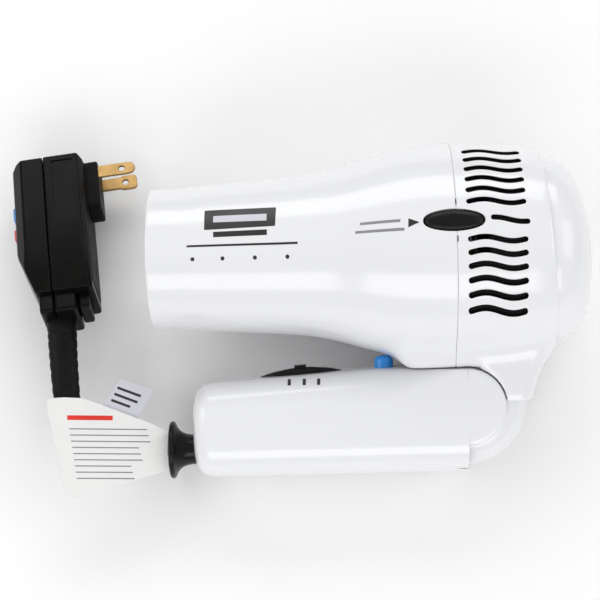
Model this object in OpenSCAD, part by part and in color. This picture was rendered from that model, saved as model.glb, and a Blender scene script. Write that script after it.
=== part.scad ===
/* [Barrel] */
// Outer radius of the round collar at the air outlet
collar_r = 32.6; // [31:0.1:33]
// Bore radius inside the air outlet
outlet_bore_r = 30.2; // [29.5:0.1:30.4]
// Wall thickness of the moulded shells
wall = 2.2; // [1.8:0.1:2.4]
// Tilt of the rear cap's joint plane, in degrees
cap_tilt = 3.5; // [2:0.5:4]
/* [Vents] */
// Number of long wavy slots above the middle slot, and again below it
slot_rows = 6; // [4:1:6]
// Spacing between neighbouring wavy slots
slot_pitch = 5.65; // [5:0.05:6.1]
// Width of each wavy slot
slot_w = 2.3; // [1.6:0.1:2.6]
// Height of the wave, centre to crest
slot_wave = 1.0; // [0.4:0.1:1.2]
/* [Handle] */
// Half thickness of the handle
handle_t = 22; // [20:0.5:22]
// Edge radius of the handle
handle_edge = 15; // [12:0.5:16]
// Radius of the fixed hinge drum that the handle swings around
drum_r = 29; // [28:0.1:29]
// Radius of the round hinge cheeks
cheek_r = 17.5; // [16:0.1:17.5]
/* [Cord] */
// Radius of the supply cord
cord_r = 2.4; // [2:0.1:2.6]
// Radius of the flange on the trumpet cord guide
guide_r = 13.4; // [12:0.1:14]
/* [Rest] */
// Roll of the dryer about its barrel as it lies on a table, in degrees
lie_roll = 19.2; // [17:0.01:20]
// Slope of the barrel as it lies on a table, in degrees
lie_tilt = 0.0; // [-1:0.01:2]
/* [Hidden] */
white = [0.93, 0.93, 0.94];
black = [0.08, 0.08, 0.08];
steel = [0.66, 0.67, 0.70];
brass = [0.78, 0.62, 0.34];
// hinge axis, in the barrel's own frame
px = 140; py = -70.5;
// where the lying barrel's frame sits
ox = -97.34; oy = 24.4; oz = 50;
cam_a = 17;
module place() translate([ox, oy, oz]) rotate([0, -lie_tilt, 0]) rotate([lie_roll, 0, 0]) children();
// a solid of revolution about the barrel axis, from [radius, x] points
module rev(p, fn = 96) rotate([0, 90, 0]) rotate_extrude($fn = fn) polygon(p);
module tube(r1, r0, x0, x1, fn = 72) difference() {
  translate([x0, 0, 0]) rotate([0, 90, 0]) cylinder(r = r1, h = x1 - x0, $fn = fn);
  translate([x0 - 1, 0, 0]) rotate([0, 90, 0]) cylinder(r = r0, h = x1 - x0 + 2, $fn = fn);
}
module rod(r, x0, x1, fn = 48) translate([x0, 0, 0]) rotate([0, 90, 0]) cylinder(r = r, h = x1 - x0, $fn = fn);
module zrod(r, z0, z1, fn = 72) translate([0, 0, z0]) cylinder(r = r, h = z1 - z0, $fn = fn);
module box(a, b) translate(a) cube(b - a);
module at_pivot() translate([px, py, 0]) children();
// frame whose z axis points out through the retract button
module button_dir() rotate([-cam_a, 0, 0]) children();
function arc(cx, cy, r, a0, a1, n) = [for (i = [0:n]) [cx + r * cos(a0 + (a1 - a0) * i / n), cy + r * sin(a0 + (a1 - a0) * i / n)]];
// round tube swept along a route, as one closed polyhedron
function unit(v) = v / norm(v);
function side_of(t) = unit(cross(t, abs(t[2]) < 0.8 ? [0, 0, 1] : [0, 1, 0]));
module sweep(p, r, sides = 8) {
  n = len(p);
  pts = [for (i = [0:n - 1]) let (t = unit(p[min(i + 1, n - 1)] - p[max(i - 1, 0)]), u = side_of(t), v = cross(t, u))
    for (k = [0:sides - 1]) p[i] + r * (cos(360 * k / sides) * u + sin(360 * k / sides) * v)];
  faces = concat([[for (k = [0:sides - 1]) k]],
    [for (i = [0:n - 2]) for (k = [0:sides - 1]) let (a = i * sides + k, b = i * sides + (k + 1) % sides) [a, a + sides, b + sides, b]],
    [[for (k = [sides - 1:-1:0]) (n - 1) * sides + k]]);
  polyhedron(faces = faces, points = pts, convexity = 6);
}
// coil spring, its turns drawn as level rings between two end rings
module coil(r, wire, h, turns) for (i = [0:turns]) translate([0, 0, wire + (h - 2 * wire) * i / turns])
  rotate_extrude($fn = 32) translate([r, 0]) circle(r = wire, $fn = 16);
// outside of the barrel, nozzle to seam and seam to tail
front_out = [[31.8, -3.6], [32.4, -3.2], [collar_r, -2], [collar_r, 8], [33.7, 20], [35, 38], [36.3, 57], [37.2, 66], [38.8, 75.6],
  [41.2, 85], [44, 94], [46.6, 104], [48.5, 113], [49.5, 122], [49.9, 129], [50, 132], [50, 135]];
rear_out = [[50, 135], [49.8, 137], [49.4, 141], [49.1, 150], [48.4, 160], [47.2, 169], [46.2, 174], [45.1, 178], [44.4, 182]];
function inset(p, w) = [for (q = p) [q[0] - w, q[1]]];
function flip(p) = [for (i = [len(p) - 1:-1:0]) p[i]];
front_in = [[outlet_bore_r, -3.6], [outlet_bore_r, 16], [32.8, 38], [34.1, 57], [35, 66], [36.6, 75.6],
  [39, 85], [41.8, 94], [44.4, 104], [46.3, 113], [47.3, 122], [47.7, 129], [47.8, 135]];
// neck that carries the hinge drum
neck_2d = [[106, -36], [108.4, -47.5], [110.5, -50], [113, -51.2], [121, -52.7], [140, -52.7], [140, -69.8], [169.6, -69.8],
  [170.6, -65], [172.4, -59], [174.9, -53.4], [177.8, -47.8], [180, -44.4], [178, -36]];
neck_in_2d = [[112, -30], [112, -48.8], [122, -50.5], [142, -50.5], [142, -67.6], [167.6, -67.6], [168.6, -63],
  [170.4, -57.8], [172.9, -51.8], [175.5, -46], [174, -30]];
module neck(z) { translate([0, 0, -z]) linear_extrude(2 * z) polygon(neck_2d); }
module neck_void(z) { translate([0, 0, -z]) linear_extrude(2 * z) polygon(neck_in_2d); }
// inside of the barrel out to the middle of its wall, which the neck stops at
module bulk_front() rev(concat([[0, -3.6]], inset(front_out, 1), [[0, 136]]));
module bulk_rear() rev(concat([[0, 134]], [[49, 134]], inset(rear_out, 1), [[0, 182]]));
module button_2d(g) intersection() { translate([134, -29.2]) circle(r = 33.9 + g, $fn = 96); translate([134, 29.2]) circle(r = 33.9 + g, $fn = 96); translate([121 - g, -20]) square([26 + 2 * g, 40]); }

module front_housing() place() color(white) difference() {
  union() {
    rev(concat(front_out, flip(front_in)));
    rev([[46.2, 127], [48.2, 131], [48.2, 135], [47.3, 135], [47.3, 138], [46.4, 138], [46.4, 131]]);
    intersection() { difference() { neck(handle_t); neck_void(handle_t - wall); bulk_front(); } box([90, -60, -30], [135, -30, 30]); }
    rev([[28.4, 14], [30.6, 14], [30.9, 16], [28.4, 16]]);
    rev([[28.4, 84], [39, 84], [39.6, 86], [28.4, 86]]);
    rev([[41, 97], [43.2, 97], [43.8, 99], [41, 99]]);
    for (a = [90, 210, 330]) rotate([a, 0, 0]) translate([0, 40.6, 0]) intersection() { rod(2.6, 88, 99, 32); translate([0, -40.6, 0]) rod(44, 92, 99); }
  }
  // pocket under the retract button's flange
  button_dir() box([118.9, -6.5, 40], [149, 6.5, 47.1]);
  // way for the cord and wires into the hinge
  box([122, -56, -9], [134, -45.5, 9]);
  // clearance for the retract button
  button_dir() translate([0, 0, 40]) linear_extrude(20) button_2d(0.35);
  for (a = [90, 210, 330]) rotate([a, 0, 0]) translate([0, 40.6, 0]) rod(1.1, 91, 100, 24);
  translate([0, -40.6, 0]) box([95, -2, -5], [100, 2.6, 5]);
  // rear outline of the hinge drum
  at_pivot() zrod(drum_r + 0.3, -14.6, 14.6);
}
module slot_2d(x0, x1) {
  n = 10; L = x1 - x0; w = slot_w / 2;
  c = [for (i = [0:n]) let (x = x0 + w + (L - 2 * w) * i / n) [x, slot_wave * sin(360 * (x - 141) / 24.5)]];
  polygon(concat([for (q = c) q + [0, w]], [[x1 - 0.35, c[n][1] + w * 0.6], [x1, c[n][1]], [x1 - 0.35, c[n][1] - w * 0.6]],
    [for (i = [n:-1:0]) c[i] - [0, w]], [[x0 + 0.35, c[0][1] - w * 0.6], [x0, c[0][1]], [x0 + 0.35, c[0][1] + w * 0.6]]));
}
module slots() button_dir() translate([0, 0, 15]) linear_extrude(40) {
  translate([0, 0]) slot_2d(150, 167);
  for (k = [0:slot_rows - 1]) for (s = [-1, 1]) translate([0, s * (8.6 + slot_pitch * k)]) slot_2d(139.6, 166);
}
module drum() difference() {
  zrod(drum_r, -14.3, 14.3, 96);
  zrod(drum_r - wall, -12.2, 12.2, 96);
}
module rear_housing() place() color(white) difference() {
  union() {
    rev(concat(rear_out, flip(inset(rear_out, wall))));
    intersection() { difference() { neck(handle_t); neck_void(handle_t - wall); bulk_rear(); } box([135, -80, -30], [190, -30, 30]); }
    at_pivot() difference() {
      union() { drum(); zrod(8, -14.3, 14.3); for (a = [10, 55, 300]) rotate([0, 0, a]) box([7, -1, -13], [drum_r - 1, 1, 13]); }
      // flat top ahead of the seam, under the front shoulder
      box([-40, 17.5, -30], [-5, 40, 30]);
      // way in for the wires, open over the whole swing
      rotate([0, 0, 178]) rotate_extrude(angle = 92, $fn = 96) translate([20, -6]) square([12, 12]);
      box([-16, 10, -6], [0, 40, 6]);
    }
    rev([[42, 169.4], [45.4, 169.4], [45.1, 170.9], [42, 170.9]]);
    for (a = [90, 210, 330]) rotate([a, 0, 0]) translate([0, 41.6, 0]) intersection() { rod(2.6, 162, 170.9, 32); translate([0, -41.6, 0]) rod(45.4, 160, 171); }
    // lugs for the brake lever's pin
    button_dir() for (s = [-1, 1]) translate([0, s * 7.6, 0]) box([138.6, -1, 40], [143.4, 1, 47.4]);
  }
  bulk_cut();
  slots(); mirror([0, 0, 1]) slots();
  // pocket under the retract button's flange
  button_dir() box([118.9, -6.5, 40], [149, 6.5, 47.1]);
  // way for the cord from the hinge to the reel
  box([124, -62, -6], [152, -40, 6]);
  at_pivot() { zrod(5.05, -20, 20, 64); zrod(cheek_r + 0.7, 14.3, 40, 96); zrod(cheek_r + 0.7, -40, -14.3, 96); }
  button_dir() translate([0, 0, 42]) linear_extrude(20) button_2d(0.35);
  button_dir() translate([141, 0, 41.9]) rotate([90, 0, 0]) cylinder(r = 1, h = 30, center = true, $fn = 32);
  for (a = [90, 210, 330]) rotate([a, 0, 0]) translate([0, 41.6, 0]) rod(1.1, 160, 172, 24);
}
// everything behind the rear cap's joint plane, and the reel's space
module bulk_cut() {
  translate([178, 0, 0]) rotate([0, 0, cap_tilt]) box([0, -80, -80], [40, 80, 80]);
  rod(38.9, 134, 181, 96);
}
module rear_cap() place() color(white) translate([178, 0, 0]) rotate([0, 0, cap_tilt])
  rev([[43.8, 0], [43.4, 3], [42, 7], [39.6, 11], [36.6, 13.7], [33, 15.8], [28, 17.4], [20, 18.8], [10, 19.7], [0, 20],
    [0, 17.8], [10, 17.5], [20, 16.6], [27.4, 15.3], [31.8, 13.8], [35, 11.8], [37.4, 9.4], [39.4, 6], [40.4, 3], [40.4, -1.2], [42, -1.2], [42, 0]]);
module air_screen() place() color([0.12, 0.12, 0.12]) difference() {
  rev([[47, 138.4], [46.9, 141], [46.6, 150], [45.9, 160], [45.2, 166.5], [44.4, 166.5], [45.1, 160], [45.8, 150], [46.1, 141], [46.2, 138.4]]);
  button_dir() box([130, -14, 30], [149.4, 14, 60]);
  box([130, -60, -24], [180, -36, 24]);
}
module outlet_grille() place() color(black) {
  tube(outlet_bore_r, 28.6, 5, 8, 96);
  tube(21.4, 20.2, 5, 7.4, 72);
  tube(12.6, 11.4, 5, 7.4, 72);
  rod(3.4, 5, 7.4);
  for (a = [0:45:315]) rotate([a, 0, 0]) difference() { box([5, 3, -0.6], [7.4, 28.9, 0.6]); }
}
module heat_shield() place() color([0.80, 0.76, 0.66]) tube(28.4, 27.6, 10, 88, 96);
module mica_frame() place() color([0.86, 0.80, 0.66]) intersection() {
  union() { box([14, -30, -0.5], [86, 30, 0.5]); box([14, -0.5, -30], [86, 0.5, 30]); box([82, -30, -2], [83, 30, 2]); }
  rod(27.6, 0, 100, 96);
}
module heater_coils() place() color([0.62, 0.60, 0.58]) {
  for (i = [0:10]) translate([20 + 6 * i, 0, 0]) rotate([0, 90, 0]) rotate_extrude($fn = 64) translate([23, 0]) circle(r = 1.1, $fn = 16);
  for (i = [0:4]) translate([23 + 6 * i, 0, 0]) rotate([0, 90, 0]) rotate_extrude($fn = 48) translate([14, 0]) circle(r = 1.1, $fn = 16);
}
module thermal_cutouts() place() color(steel) {
  translate([66, 10, 0.5]) zrod(5, 0, 3.4, 40); box([58, 8, 0.5], [74, 12, 1.3]);
  translate([0, -10, 2.5]) rod(2, 60, 72, 32); translate([0, -10, 2.5]) rod(0.5, 52, 80, 20);
}
module ionizer_module() place() color([0.15, 0.25, 0.45]) box([62, 28.4, -6], [82, 33.4, 6]);
module ion_needle() place() color(steel) { translate([0, 30, 0]) rod(0.6, 22, 62, 20); translate([0, 30, 0]) rotate([0, 90, 0]) translate([0, 0, 18]) cylinder(r1 = 0.1, r2 = 0.6, h = 4, $fn = 20); }
module motor_mount() place() color([0.20, 0.20, 0.21]) difference() {
  union() {
    tube(38.7, 37, 99, 134.5, 96);
    tube(42.4, 38, 99, 101, 96);
    tube(15.6, 14.05, 98.5, 117, 64);
    for (a = [0:360 / 7:359]) rotate([a, 0, 0]) box([100, 15.2, -0.75], [116, 37.4, 0.75]);
    for (a = [90, 210, 330]) rotate([a, 0, 0]) translate([0, 40.4, 0]) rod(2.5, 99, 102, 32);
  }
  for (a = [90, 210, 330]) rotate([a, 0, 0]) translate([0, 40.6, 0]) rod(1.1, 98, 104, 24);
  translate([0, -40.6, 0]) box([98.8, -1.6, -5], [103, 4, 5]);
}
// one housing screw, its head's underside at x
module housing_screw(x) difference() {
  union() { rod(1.1, x - 8.5, x + 0.2, 24); rod(1.8, x, x + 1.4, 32); }
  box([x + 0.9, -1.5, -0.25], [x + 2, 1.5, 0.25]); box([x + 0.9, -0.25, -1.5], [x + 2, 0.25, 1.5]);
}
module housing_screws() place() color(steel) for (a = [90, 210, 330]) rotate([a, 0, 0]) {
  translate([0, 40.6, 0]) housing_screw(102);
  translate([0, 41.6, 0]) housing_screw(172.9);
}
module motor_can() place() color(steel) difference() {
  union() { rod(14.05, 98, 122); rod(4.6, 121, 122.6); }
  rod(13.2, 97, 121); rod(2.9, 120, 124);
}
module motor_end_cap() place() color(black) difference() { union() { rod(14.05, 96, 98, 64); rod(4.4, 95.2, 96.2, 40); } rod(2.9, 94, 99, 40); }
module motor_magnets() place() color([0.25, 0.25, 0.27]) difference() { tube(13.2, 10.7, 100.5, 119, 64); box([99, -20, -4], [120, 20, 4]); }
module motor_bearings() place() color(brass) { tube(2.9, 1.2, 95.4, 98.2, 40); tube(2.9, 1.2, 120, 122.4, 40); }
module motor_brushes() place() color([0.3, 0.3, 0.3]) for (s = [-1, 1]) scale([1, 1, 1]) box([98, min(s * 3.7, s * 9), -1.2], [100.2, max(s * 3.7, s * 9), 1.2]);
module armature() place() color([0.72, 0.42, 0.24]) difference() {
  union() { rod(10.1, 102.6, 117.5); rod(3.3, 98.7, 103, 40); rod(2.4, 117, 119, 40); }
  rod(1.15, 90, 130, 40);
  for (a = [0:60:359]) rotate([a, 0, 0]) box([102, 5, -1], [118, 12, 1]);
}
module motor_shaft() place() color(steel) rod(1.15, 94.6, 133.6, 40);
module fan_impeller() place() color([0.16, 0.16, 0.17]) difference() {
  union() {
    rod(11.2, 123.6, 132.6, 64);
    intersection() {
      for (a = [0:40:359]) rotate([a, 0, 0]) translate([128.2, 23, 0]) rotate([0, 38, 0]) cube([14, 28, 1.3], center = true);
      rod(36.4, 122.8, 133.4, 96);
    }
  }
  rod(1.15, 120, 140, 40);
}
module rectifier_board() place() color([0.12, 0.35, 0.2]) difference() {
  union() { rod(12, 92.2, 93.8, 48); for (a = [45:90:315]) rotate([a, 0, 0]) translate([0, 7, 0]) rod(1.4, 93.6, 96, 20); }
  rod(3, 91, 95, 32);
}
module heater_wires() place() color([0.75, 0.12, 0.1]) for (s = [-1, 1]) translate([0, 0, s * 2.6]) {
  translate([0, -40.2, 0]) rod(1, 94, 124, 20);
  translate([94, -40.2, 0]) sphere(r = 1, $fn = 20);
  translate([94, -40.2, 0]) rotate([-90, 0, 0]) cylinder(r = 1, h = 22, $fn = 20);
  translate([94, -18.2, 0]) sphere(r = 1, $fn = 20);
  translate([0, -18.2, 0]) rod(1, 83, 94, 20);
}
module reel_frame() place() color([0.3, 0.3, 0.31]) difference() {
  union() { rod(44, 170.9, 172.9, 96); rod(7, 172, 174.6, 48); }
  rod(3, 165, 176, 40);
  for (a = [30:60:359]) rotate([a, 0, 0]) translate([0, 33, 0]) rod(5, 170, 174, 32);
  for (a = [90, 210, 330]) rotate([a, 0, 0]) translate([0, 41.6, 0]) rod(1.1, 165, 176, 24);
  // clear of the rear cap's rim
  translate([178, 0, 0]) rotate([0, 0, cap_tilt]) tube(43, 40, -1.6, 6, 72);
}
module reel_axle() place() color(steel) rod(3, 140.4, 174.6, 48);
module spring_case() place() color([0.35, 0.35, 0.36]) difference() { rod(25, 165.3, 170.9, 64); rod(23.6, 166.4, 171.5, 64); rod(6.2, 164, 168, 40); }
module reel_spring() place() color(steel) translate([166.8, 0, 0]) rotate([90, 0, 90]) linear_extrude(3.6) {
  n = 84; r0 = 7; k = 15.6 / n;
  polygon(concat([for (i = [0:n]) let (a = i * 18, r = r0 + k * i) [r * cos(a), r * sin(a)]], [for (i = [n:-1:0]) let (a = i * 18, r = r0 + k * i + 0.7) [r * cos(a), r * sin(a)]]));
}
module brush_holder() place() color(brass) {
  box([134.5, -38.4, -5], [139.5, -35, 5]);
  box([137.5, -36, -5], [139.5, -16, 5]);
  for (r = [18, 24]) translate([0, -r, 0]) box([139.4, -1, -3], [141.6, 1, 3]);
}
module reel_spool() place() color([0.26, 0.26, 0.27]) difference() {
  union() { rod(38.5, 143, 144.6, 96); rod(38.5, 163, 164.6, 96); rod(13.6, 143.4, 164, 64); rod(5.4, 142.2, 170, 48); }
  rod(3.05, 140, 172, 48);
  for (x = [143.6, 163.8]) for (a = [0:60:359]) rotate([a, 0, 0]) translate([0, 33.4, 0]) rod(3, x - 2, x + 2, 24);
  tube(11.6, 7.4, 146, 166, 48);
}
module slip_rings() place() color(brass) { tube(19.2, 16.8, 142, 143, 64); tube(25.2, 22.8, 142, 143, 64); }
module wound_cord() place() color(black) rotate([0, 90, 0]) rotate_extrude($fn = 72) { translate([13.8, 146.4]) square([12.2, 14.8]); for (i = [0:2]) for (j = [0:3]) translate([15.5 + 3.5 * j, 147.9 + 5.9 * i]) {
  square([3.7, 3.6], center = true); for (s = [-1, 1]) translate([0, s * 1.6]) circle(r = 1.6, $fn = 16); } }
module cord_in_housing() place() color(black) sweep([[128.5, -72, 0], [128.5, -65, 0], [132, -57, 0], [138, -50.5, 0], [145, -45.5, -1], [151, -41, -5], [154, -37, -11], [154, -31, -19], [154, -24, -24], [154, -16, -27.4], [154, -8, -29.8]], cord_r);
module retract_button() place() color(black) button_dir() {
  intersection() {
    translate([0, 0, 45.4]) linear_extrude(8) button_2d(0);
    // domed just proud of the barrel
    rotate([0, 90, 0]) rotate_extrude($fn = 128) polygon([[30, 118], [49.9, 118], [50.1, 122], [50.6, 128], [50.7, 134], [50.5, 140], [50.0, 146], [49.7, 150], [30, 150]]);
  }
  intersection() { box([119.6, -6, 45.4], [148.4, 6, 46.6]); rod(46.7, 119.6, 148.4, 128); }
  box([125.6, -1.4, 43.4], [128.4, 1.4, 45.6]);
}
module button_springs() place() color(steel) button_dir() for (s = [-1, 1]) translate([131, s * 4.9, 38.7]) coil(0.85, 0.22, 6.6, 5);
module brake_lever() place() color([0.75, 0.76, 0.78]) button_dir() difference() {
  union() {
    box([125.6, -3.2, 41], [148, 3.2, 42.8]);
    box([142.8, -3.2, 39.1], [145, 3.2, 41.4]);
    translate([141, 0, 41.9]) rotate([90, 0, 0]) cylinder(r = 2, h = 6.4, center = true, $fn = 32);
  }
  translate([141, 0, 41.9]) rotate([90, 0, 0]) cylinder(r = 1.05, h = 20, center = true, $fn = 32);
}
module brake_pin() place() color(steel) button_dir() translate([141, 0, 41.9]) rotate([90, 0, 0]) cylinder(r = 1, h = 17, center = true, $fn = 32);

// handle form: a long box with one rounded edge pair on top and one below
slope = atan((57.5 - 53) / 73);
module edge2d(y0, dir, off) { t = handle_t - off; r = handle_edge - off;
  translate([dir > 0 ? y0 + r : y0 - r - 80, -t]) square([80, 2 * t]);
  translate([dir > 0 ? y0 : y0 - 60, -t + r]) square([60, 2 * t - 2 * r]);
  for (s = [-1, 1]) translate([y0 + dir * r, s * (t - r)]) circle(r = r, $fn = 64); }
module along_x(h) rotate([90, 0, 90]) linear_extrude(h) children();
function profile(off) = let (x0 = 13.6 + off, b = -101.3 + off, r = 10 - off, t = -53 - off) concat(
  arc(x0 + r, b + r, r, 270, 180, 6), [[x0 - 0.5, -79]], arc(x0 + r, -58.2 - off - r, r, 180, 90, 6),
  [[25, -57], [25, -40], [px + 30, -40], [px + 30, b]]);
module handle_form(off) intersection() {
  along_x(240) edge2d(-101.3 + off, 1, off);
  along_x(240) edge2d(-53 - off, -1, off);
  translate([98, 0, 0]) rotate([0, 0, slope]) translate([-120, 0, 0]) along_x(300) edge2d(-53 * cos(slope) - off, -1, off);
  translate([0, 0, -40]) linear_extrude(80) polygon(profile(off));
}
screw_at = [[30, -95.4, 0], [112, -95.4, 0], [38, -66, 0]];
// space inside the handle
module handle_inside() intersection() {
  along_x(240) edge2d(-101.3 + wall, 1, wall);
  translate([98, 0, 0]) rotate([0, 0, slope]) translate([-120, 0, 0]) along_x(300) edge2d(-54 * cos(slope) - wall, -1, wall);
  translate([0, 0, -40]) linear_extrude(80) polygon(profile(wall));
}
module switch_at() translate([64, -55.1, 0]) rotate([0, 0, slope]) children();
module handle_shell() difference() {
  union() {
    difference() {
      intersection() { handle_form(0); box([0, -120, -40], [140.4, 0, 40]); }
      difference() { handle_inside(); box([124, -120, 14.7], [170, 0, 40]); box([124, -120, -40], [170, 0, -14.7]); }
      at_pivot() zrod(drum_r + 0.4, -14.7, 14.7, 96);
    }
    at_pivot() for (s = [0, 1]) mirror([0, 0, s]) zrod(cheek_r, 14.7, handle_t, 96);
    // screw bosses
    intersection() {
      for (q = screw_at) translate(q) zrod(3.2, -21, 21, 32);
      handle_form(0.8);
    }
    // ribs that hold the switches
    for (x = [50.5, 75.5]) for (s = [0, 1]) mirror([0, 0, s]) box([x, -78, 7], [x + 2, -71, 20.4]);
    for (s = [0, 1]) mirror([0, 0, s]) box([101.7, -76, 6], [103.7, -70, 20.4]);
  }
  at_pivot() zrod(5, -19.5, 19.5, 64);
  at_pivot() for (s = [0, 1]) mirror([0, 0, s]) zrod(9.2, 14.6, 16, 64);
  for (q = screw_at) translate(q) { zrod(1.4, -30, 12, 24); zrod(2.7, -30, -12, 32); }
  switch_at() box([-17, -6, -3.2], [17, 3, 3.2]);
  translate([102.7, -60, 0]) rotate([-90, 0, 0]) cylinder(r = 4.7, h = 12, $fn = 64);
  translate([0, -89.3, 0]) rod(6.85, 8, 17, 64);
  translate([0, -89.3, 0]) rod(8.6, 15.8, 17.4, 64);
}
module half(s) mirror([0, 0, s]) box([-20, -150, 0], [240, 20, 40]);
module handle_left() place() color(white) intersection() { handle_shell(); half(0); }
module handle_right() place() color(white) intersection() { handle_shell(); half(1); }
module hinge_pin() place() color(steel) at_pivot() difference() { zrod(5, -19.5, 19.5, 64); zrod(3.2, -20, 20, 48); }
module hinge_washers() place() color(steel) at_pivot() for (s = [0, 1]) mirror([0, 0, s]) difference() { zrod(9.2, 14.7, 16, 64); zrod(5, 14, 17, 64); }
module detent_spring() place() color(steel) intersection() {
  at_pivot() {
    intersection() { difference() { zrod(31.3, -5, 5, 96); zrod(30.7, -6, 6, 96); } rotate([0, 0, 215]) box([0, -9, -6], [40, 9, 6]); }
    rotate([0, 0, 215]) translate([30.7, 0, 0]) zrod(0.9, -4, 4, 24);
    for (a = [-15.2, 15.2]) rotate([0, 0, 215 + a]) box([30.8, -1.2, -19.8], [33.2, 1.2, 19.8]);
  }
  handle_inside();
}
module handle_screws() place() color(steel) for (q = screw_at) translate(q) difference() {
  union() { zrod(1.4, -13, 12, 24); zrod(2.6, -14.4, -12, 32); }
  translate([0, 0, -14.6]) { cube([3.6, 0.6, 1.4], center = true); cube([0.6, 3.6, 1.4], center = true); }
}
module switch_bezel() place() color(black) switch_at() difference() {
  union() {
    intersection() {
      rotate([90, 0, 0]) translate([0, 0, -4]) linear_extrude(4) intersection() { translate([0, 34.4]) circle(r = 39.4, $fn = 128); translate([0, -34.4]) circle(r = 39.4, $fn = 128); }
      translate([0, -59.9, 0]) cylinder(r = 62.9, h = 30, center = true, $fn = 192);
    }
    box([-17, -3, -3.2], [17, 0.2, 3.2]);
  }
  box([-9.9, -6, -2.6], [9.9, 6, 2.6]);
}
module switch_slider() place() color(black) switch_at() {
  box([-2.75, -4.2, -2.2], [2.75, 4.2, 2.2]);
  box([-12, -5.4, -4], [12, -3.6, 4]);
  box([-1.5, -8, -1.5], [1.5, -5, 1.5]);
}
module switch_body() place() color([0.16, 0.16, 0.16]) switch_at() difference() {
  union() { box([-11.5, -21, -7], [11.5, -5.9, 7]); for (x = [-7, 0, 7]) box([x - 1.2, -26, -0.4], [x + 1.2, -21, 0.4]); }
  box([-9, -9.2, -2], [9, -5, 2]);
}
module cool_button() place() color([0.16, 0.48, 0.92]) translate([102.7, -0.5, 0]) rotate([-90, 0, 0]) {
  difference() { translate([0, 0, -58]) cylinder(r = 4.4, h = 9.6, $fn = 64); translate([0, 0, -59]) cylinder(r = 2.9, h = 6, $fn = 48); }
  translate([0, 0, -48.4]) rotate_extrude($fn = 64) polygon(concat([[0, -0.2]], [[4.4, -0.2]], arc(2.9, 0, 1.5, 0, 90, 5), [[0, 1.55]]));
  difference() { translate([0, 0, -57.4]) cylinder(r = 6.2, h = 1.2, $fn = 64); translate([0, 0, -58]) cylinder(r = 2.9, h = 2.4, $fn = 48); }
  translate([0, 0, -58]) cylinder(r = 1.2, h = 5.6, $fn = 32);
}
module cool_spring() place() color(steel) translate([102.7, -61.8, 0]) rotate([-90, 0, 0]) coil(2.1, 0.35, 8.1, 5);
module cool_switch() place() color([0.16, 0.16, 0.16]) { box([95.5, -74, -6], [108.4, -61.8, 6]); box([96.5, -78, -0.4], [98.9, -74, 0.4]); box([101.5, -76.8, -0.4], [103.9, -74, 0.4]); }
module cord_guide() place() color(black) translate([0, -89.3, 0]) difference() {
  rev(concat([[3.6, 1.9], [11.6, 1.8], [12.8, 2.1], [guide_r, 3], [guide_r - 0.1, 3.9], [12.6, 4.5]], arc(12.6 + 1.0, 12.4, 7, 265, 182, 7), [[6.85, 13.6], [6.85, 15.8], [8.6, 15.8], [8.6, 17.4], [6, 17.4], [4.4, 19.5], [3.6, 19.5]]), 72);
  rev([[0, 0.5], [8.6, 0.5], [6.2, 2.6], [4.6, 5], [3.6, 9], [0, 9]], 72);
  translate([8.6, 0, 8.1]) rotate([0, 90, 0]) cylinder(r = 1.4, h = 3, center = true, $fn = 24);
}
module cord_in_handle() place() color(black) sweep([[9.04, -89.3, 0], [20, -89.3, 0], [32, -89.3, 0], [44, -89.3, 0], [56, -89.3, 0], [68, -89.2, 0], [80, -88.6, 0], [90, -87, 0], [98, -83.5, 0], [105, -79, 0], [109, -76, 0]], cord_r);

// the plug lies on its side, its cord end raised: x toward the blades, -y toward the cord, z up
module plug_at() translate([-173, 79, 16.65]) rotate([0, 0, 7]) rotate([-12, 0, 0]) children();
plug_side = [[2.5, 0], [33, 0], [35, -2], [35, -74], [8, -74], [0.6, -53], [0, -50], [0, -2.5]];
plug_hole = [[2.5, -2.5], [32.5, -2.5], [32.5, -71], [11, -71], [3, -50], [2.5, -48]];
plug_sec = [[0, -11], [0, 11], [5, 17], [32.5, 17], [35, 13], [35, -13], [32.5, -17], [5, -17]];
plug_top = [[0, -17], [0, 17], [-50, 17], [-74, 14.5], [-74, -14.5], [-50, -17]];
function grow(p, w) = [for (q = p) [q[0], q[1] - sign(q[1]) * w]];
module plug_form() intersection() {
  translate([0, 0, -17]) linear_extrude(34) polygon(plug_side);
  rotate([90, 0, 0]) linear_extrude(80) polygon(plug_sec);
  rotate([90, 0, 90]) linear_extrude(40) polygon(plug_top);
}
module plug_inside() intersection() {
  translate([0, 0, -14]) linear_extrude(28) polygon(plug_hole);
  rotate([90, 0, 0]) linear_extrude(80) polygon(grow(plug_sec, 2.8));
  rotate([90, 0, 90]) linear_extrude(40) polygon(grow(plug_top, 2.8));
}
module blade_pair(g) for (s = [-1, 1]) difference() {
  union() {
    box([22, -9.7 - g, s * 6.35 - 0.75 - g], [53.6, -3.3 + g, s * 6.35 + 0.75 + g]);
    intersection() {
      translate([s < 0 ? 54.4 : 56, -6.5, s * 6.35]) cylinder(r = s < 0 ? 4.3 : 4.6, h = 1.5 + 2 * g, center = true, $fn = 48);
      box([50, -6.5 - (s < 0 ? 3.95 : 3.2), s * 6.35 - 1], [59.4, -6.5 + (s < 0 ? 3.95 : 3.2), s * 6.35 + 1]);
    }
    box([53, -9.7 - g, s * 6.35 - 0.75 - g], [56, -3.3 + g, s * 6.35 + 0.75 + g]);
  }
  translate([53, -6.5, s * 6.35]) cylinder(r = 1.55, h = 4, center = true, $fn = 32);
}
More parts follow.
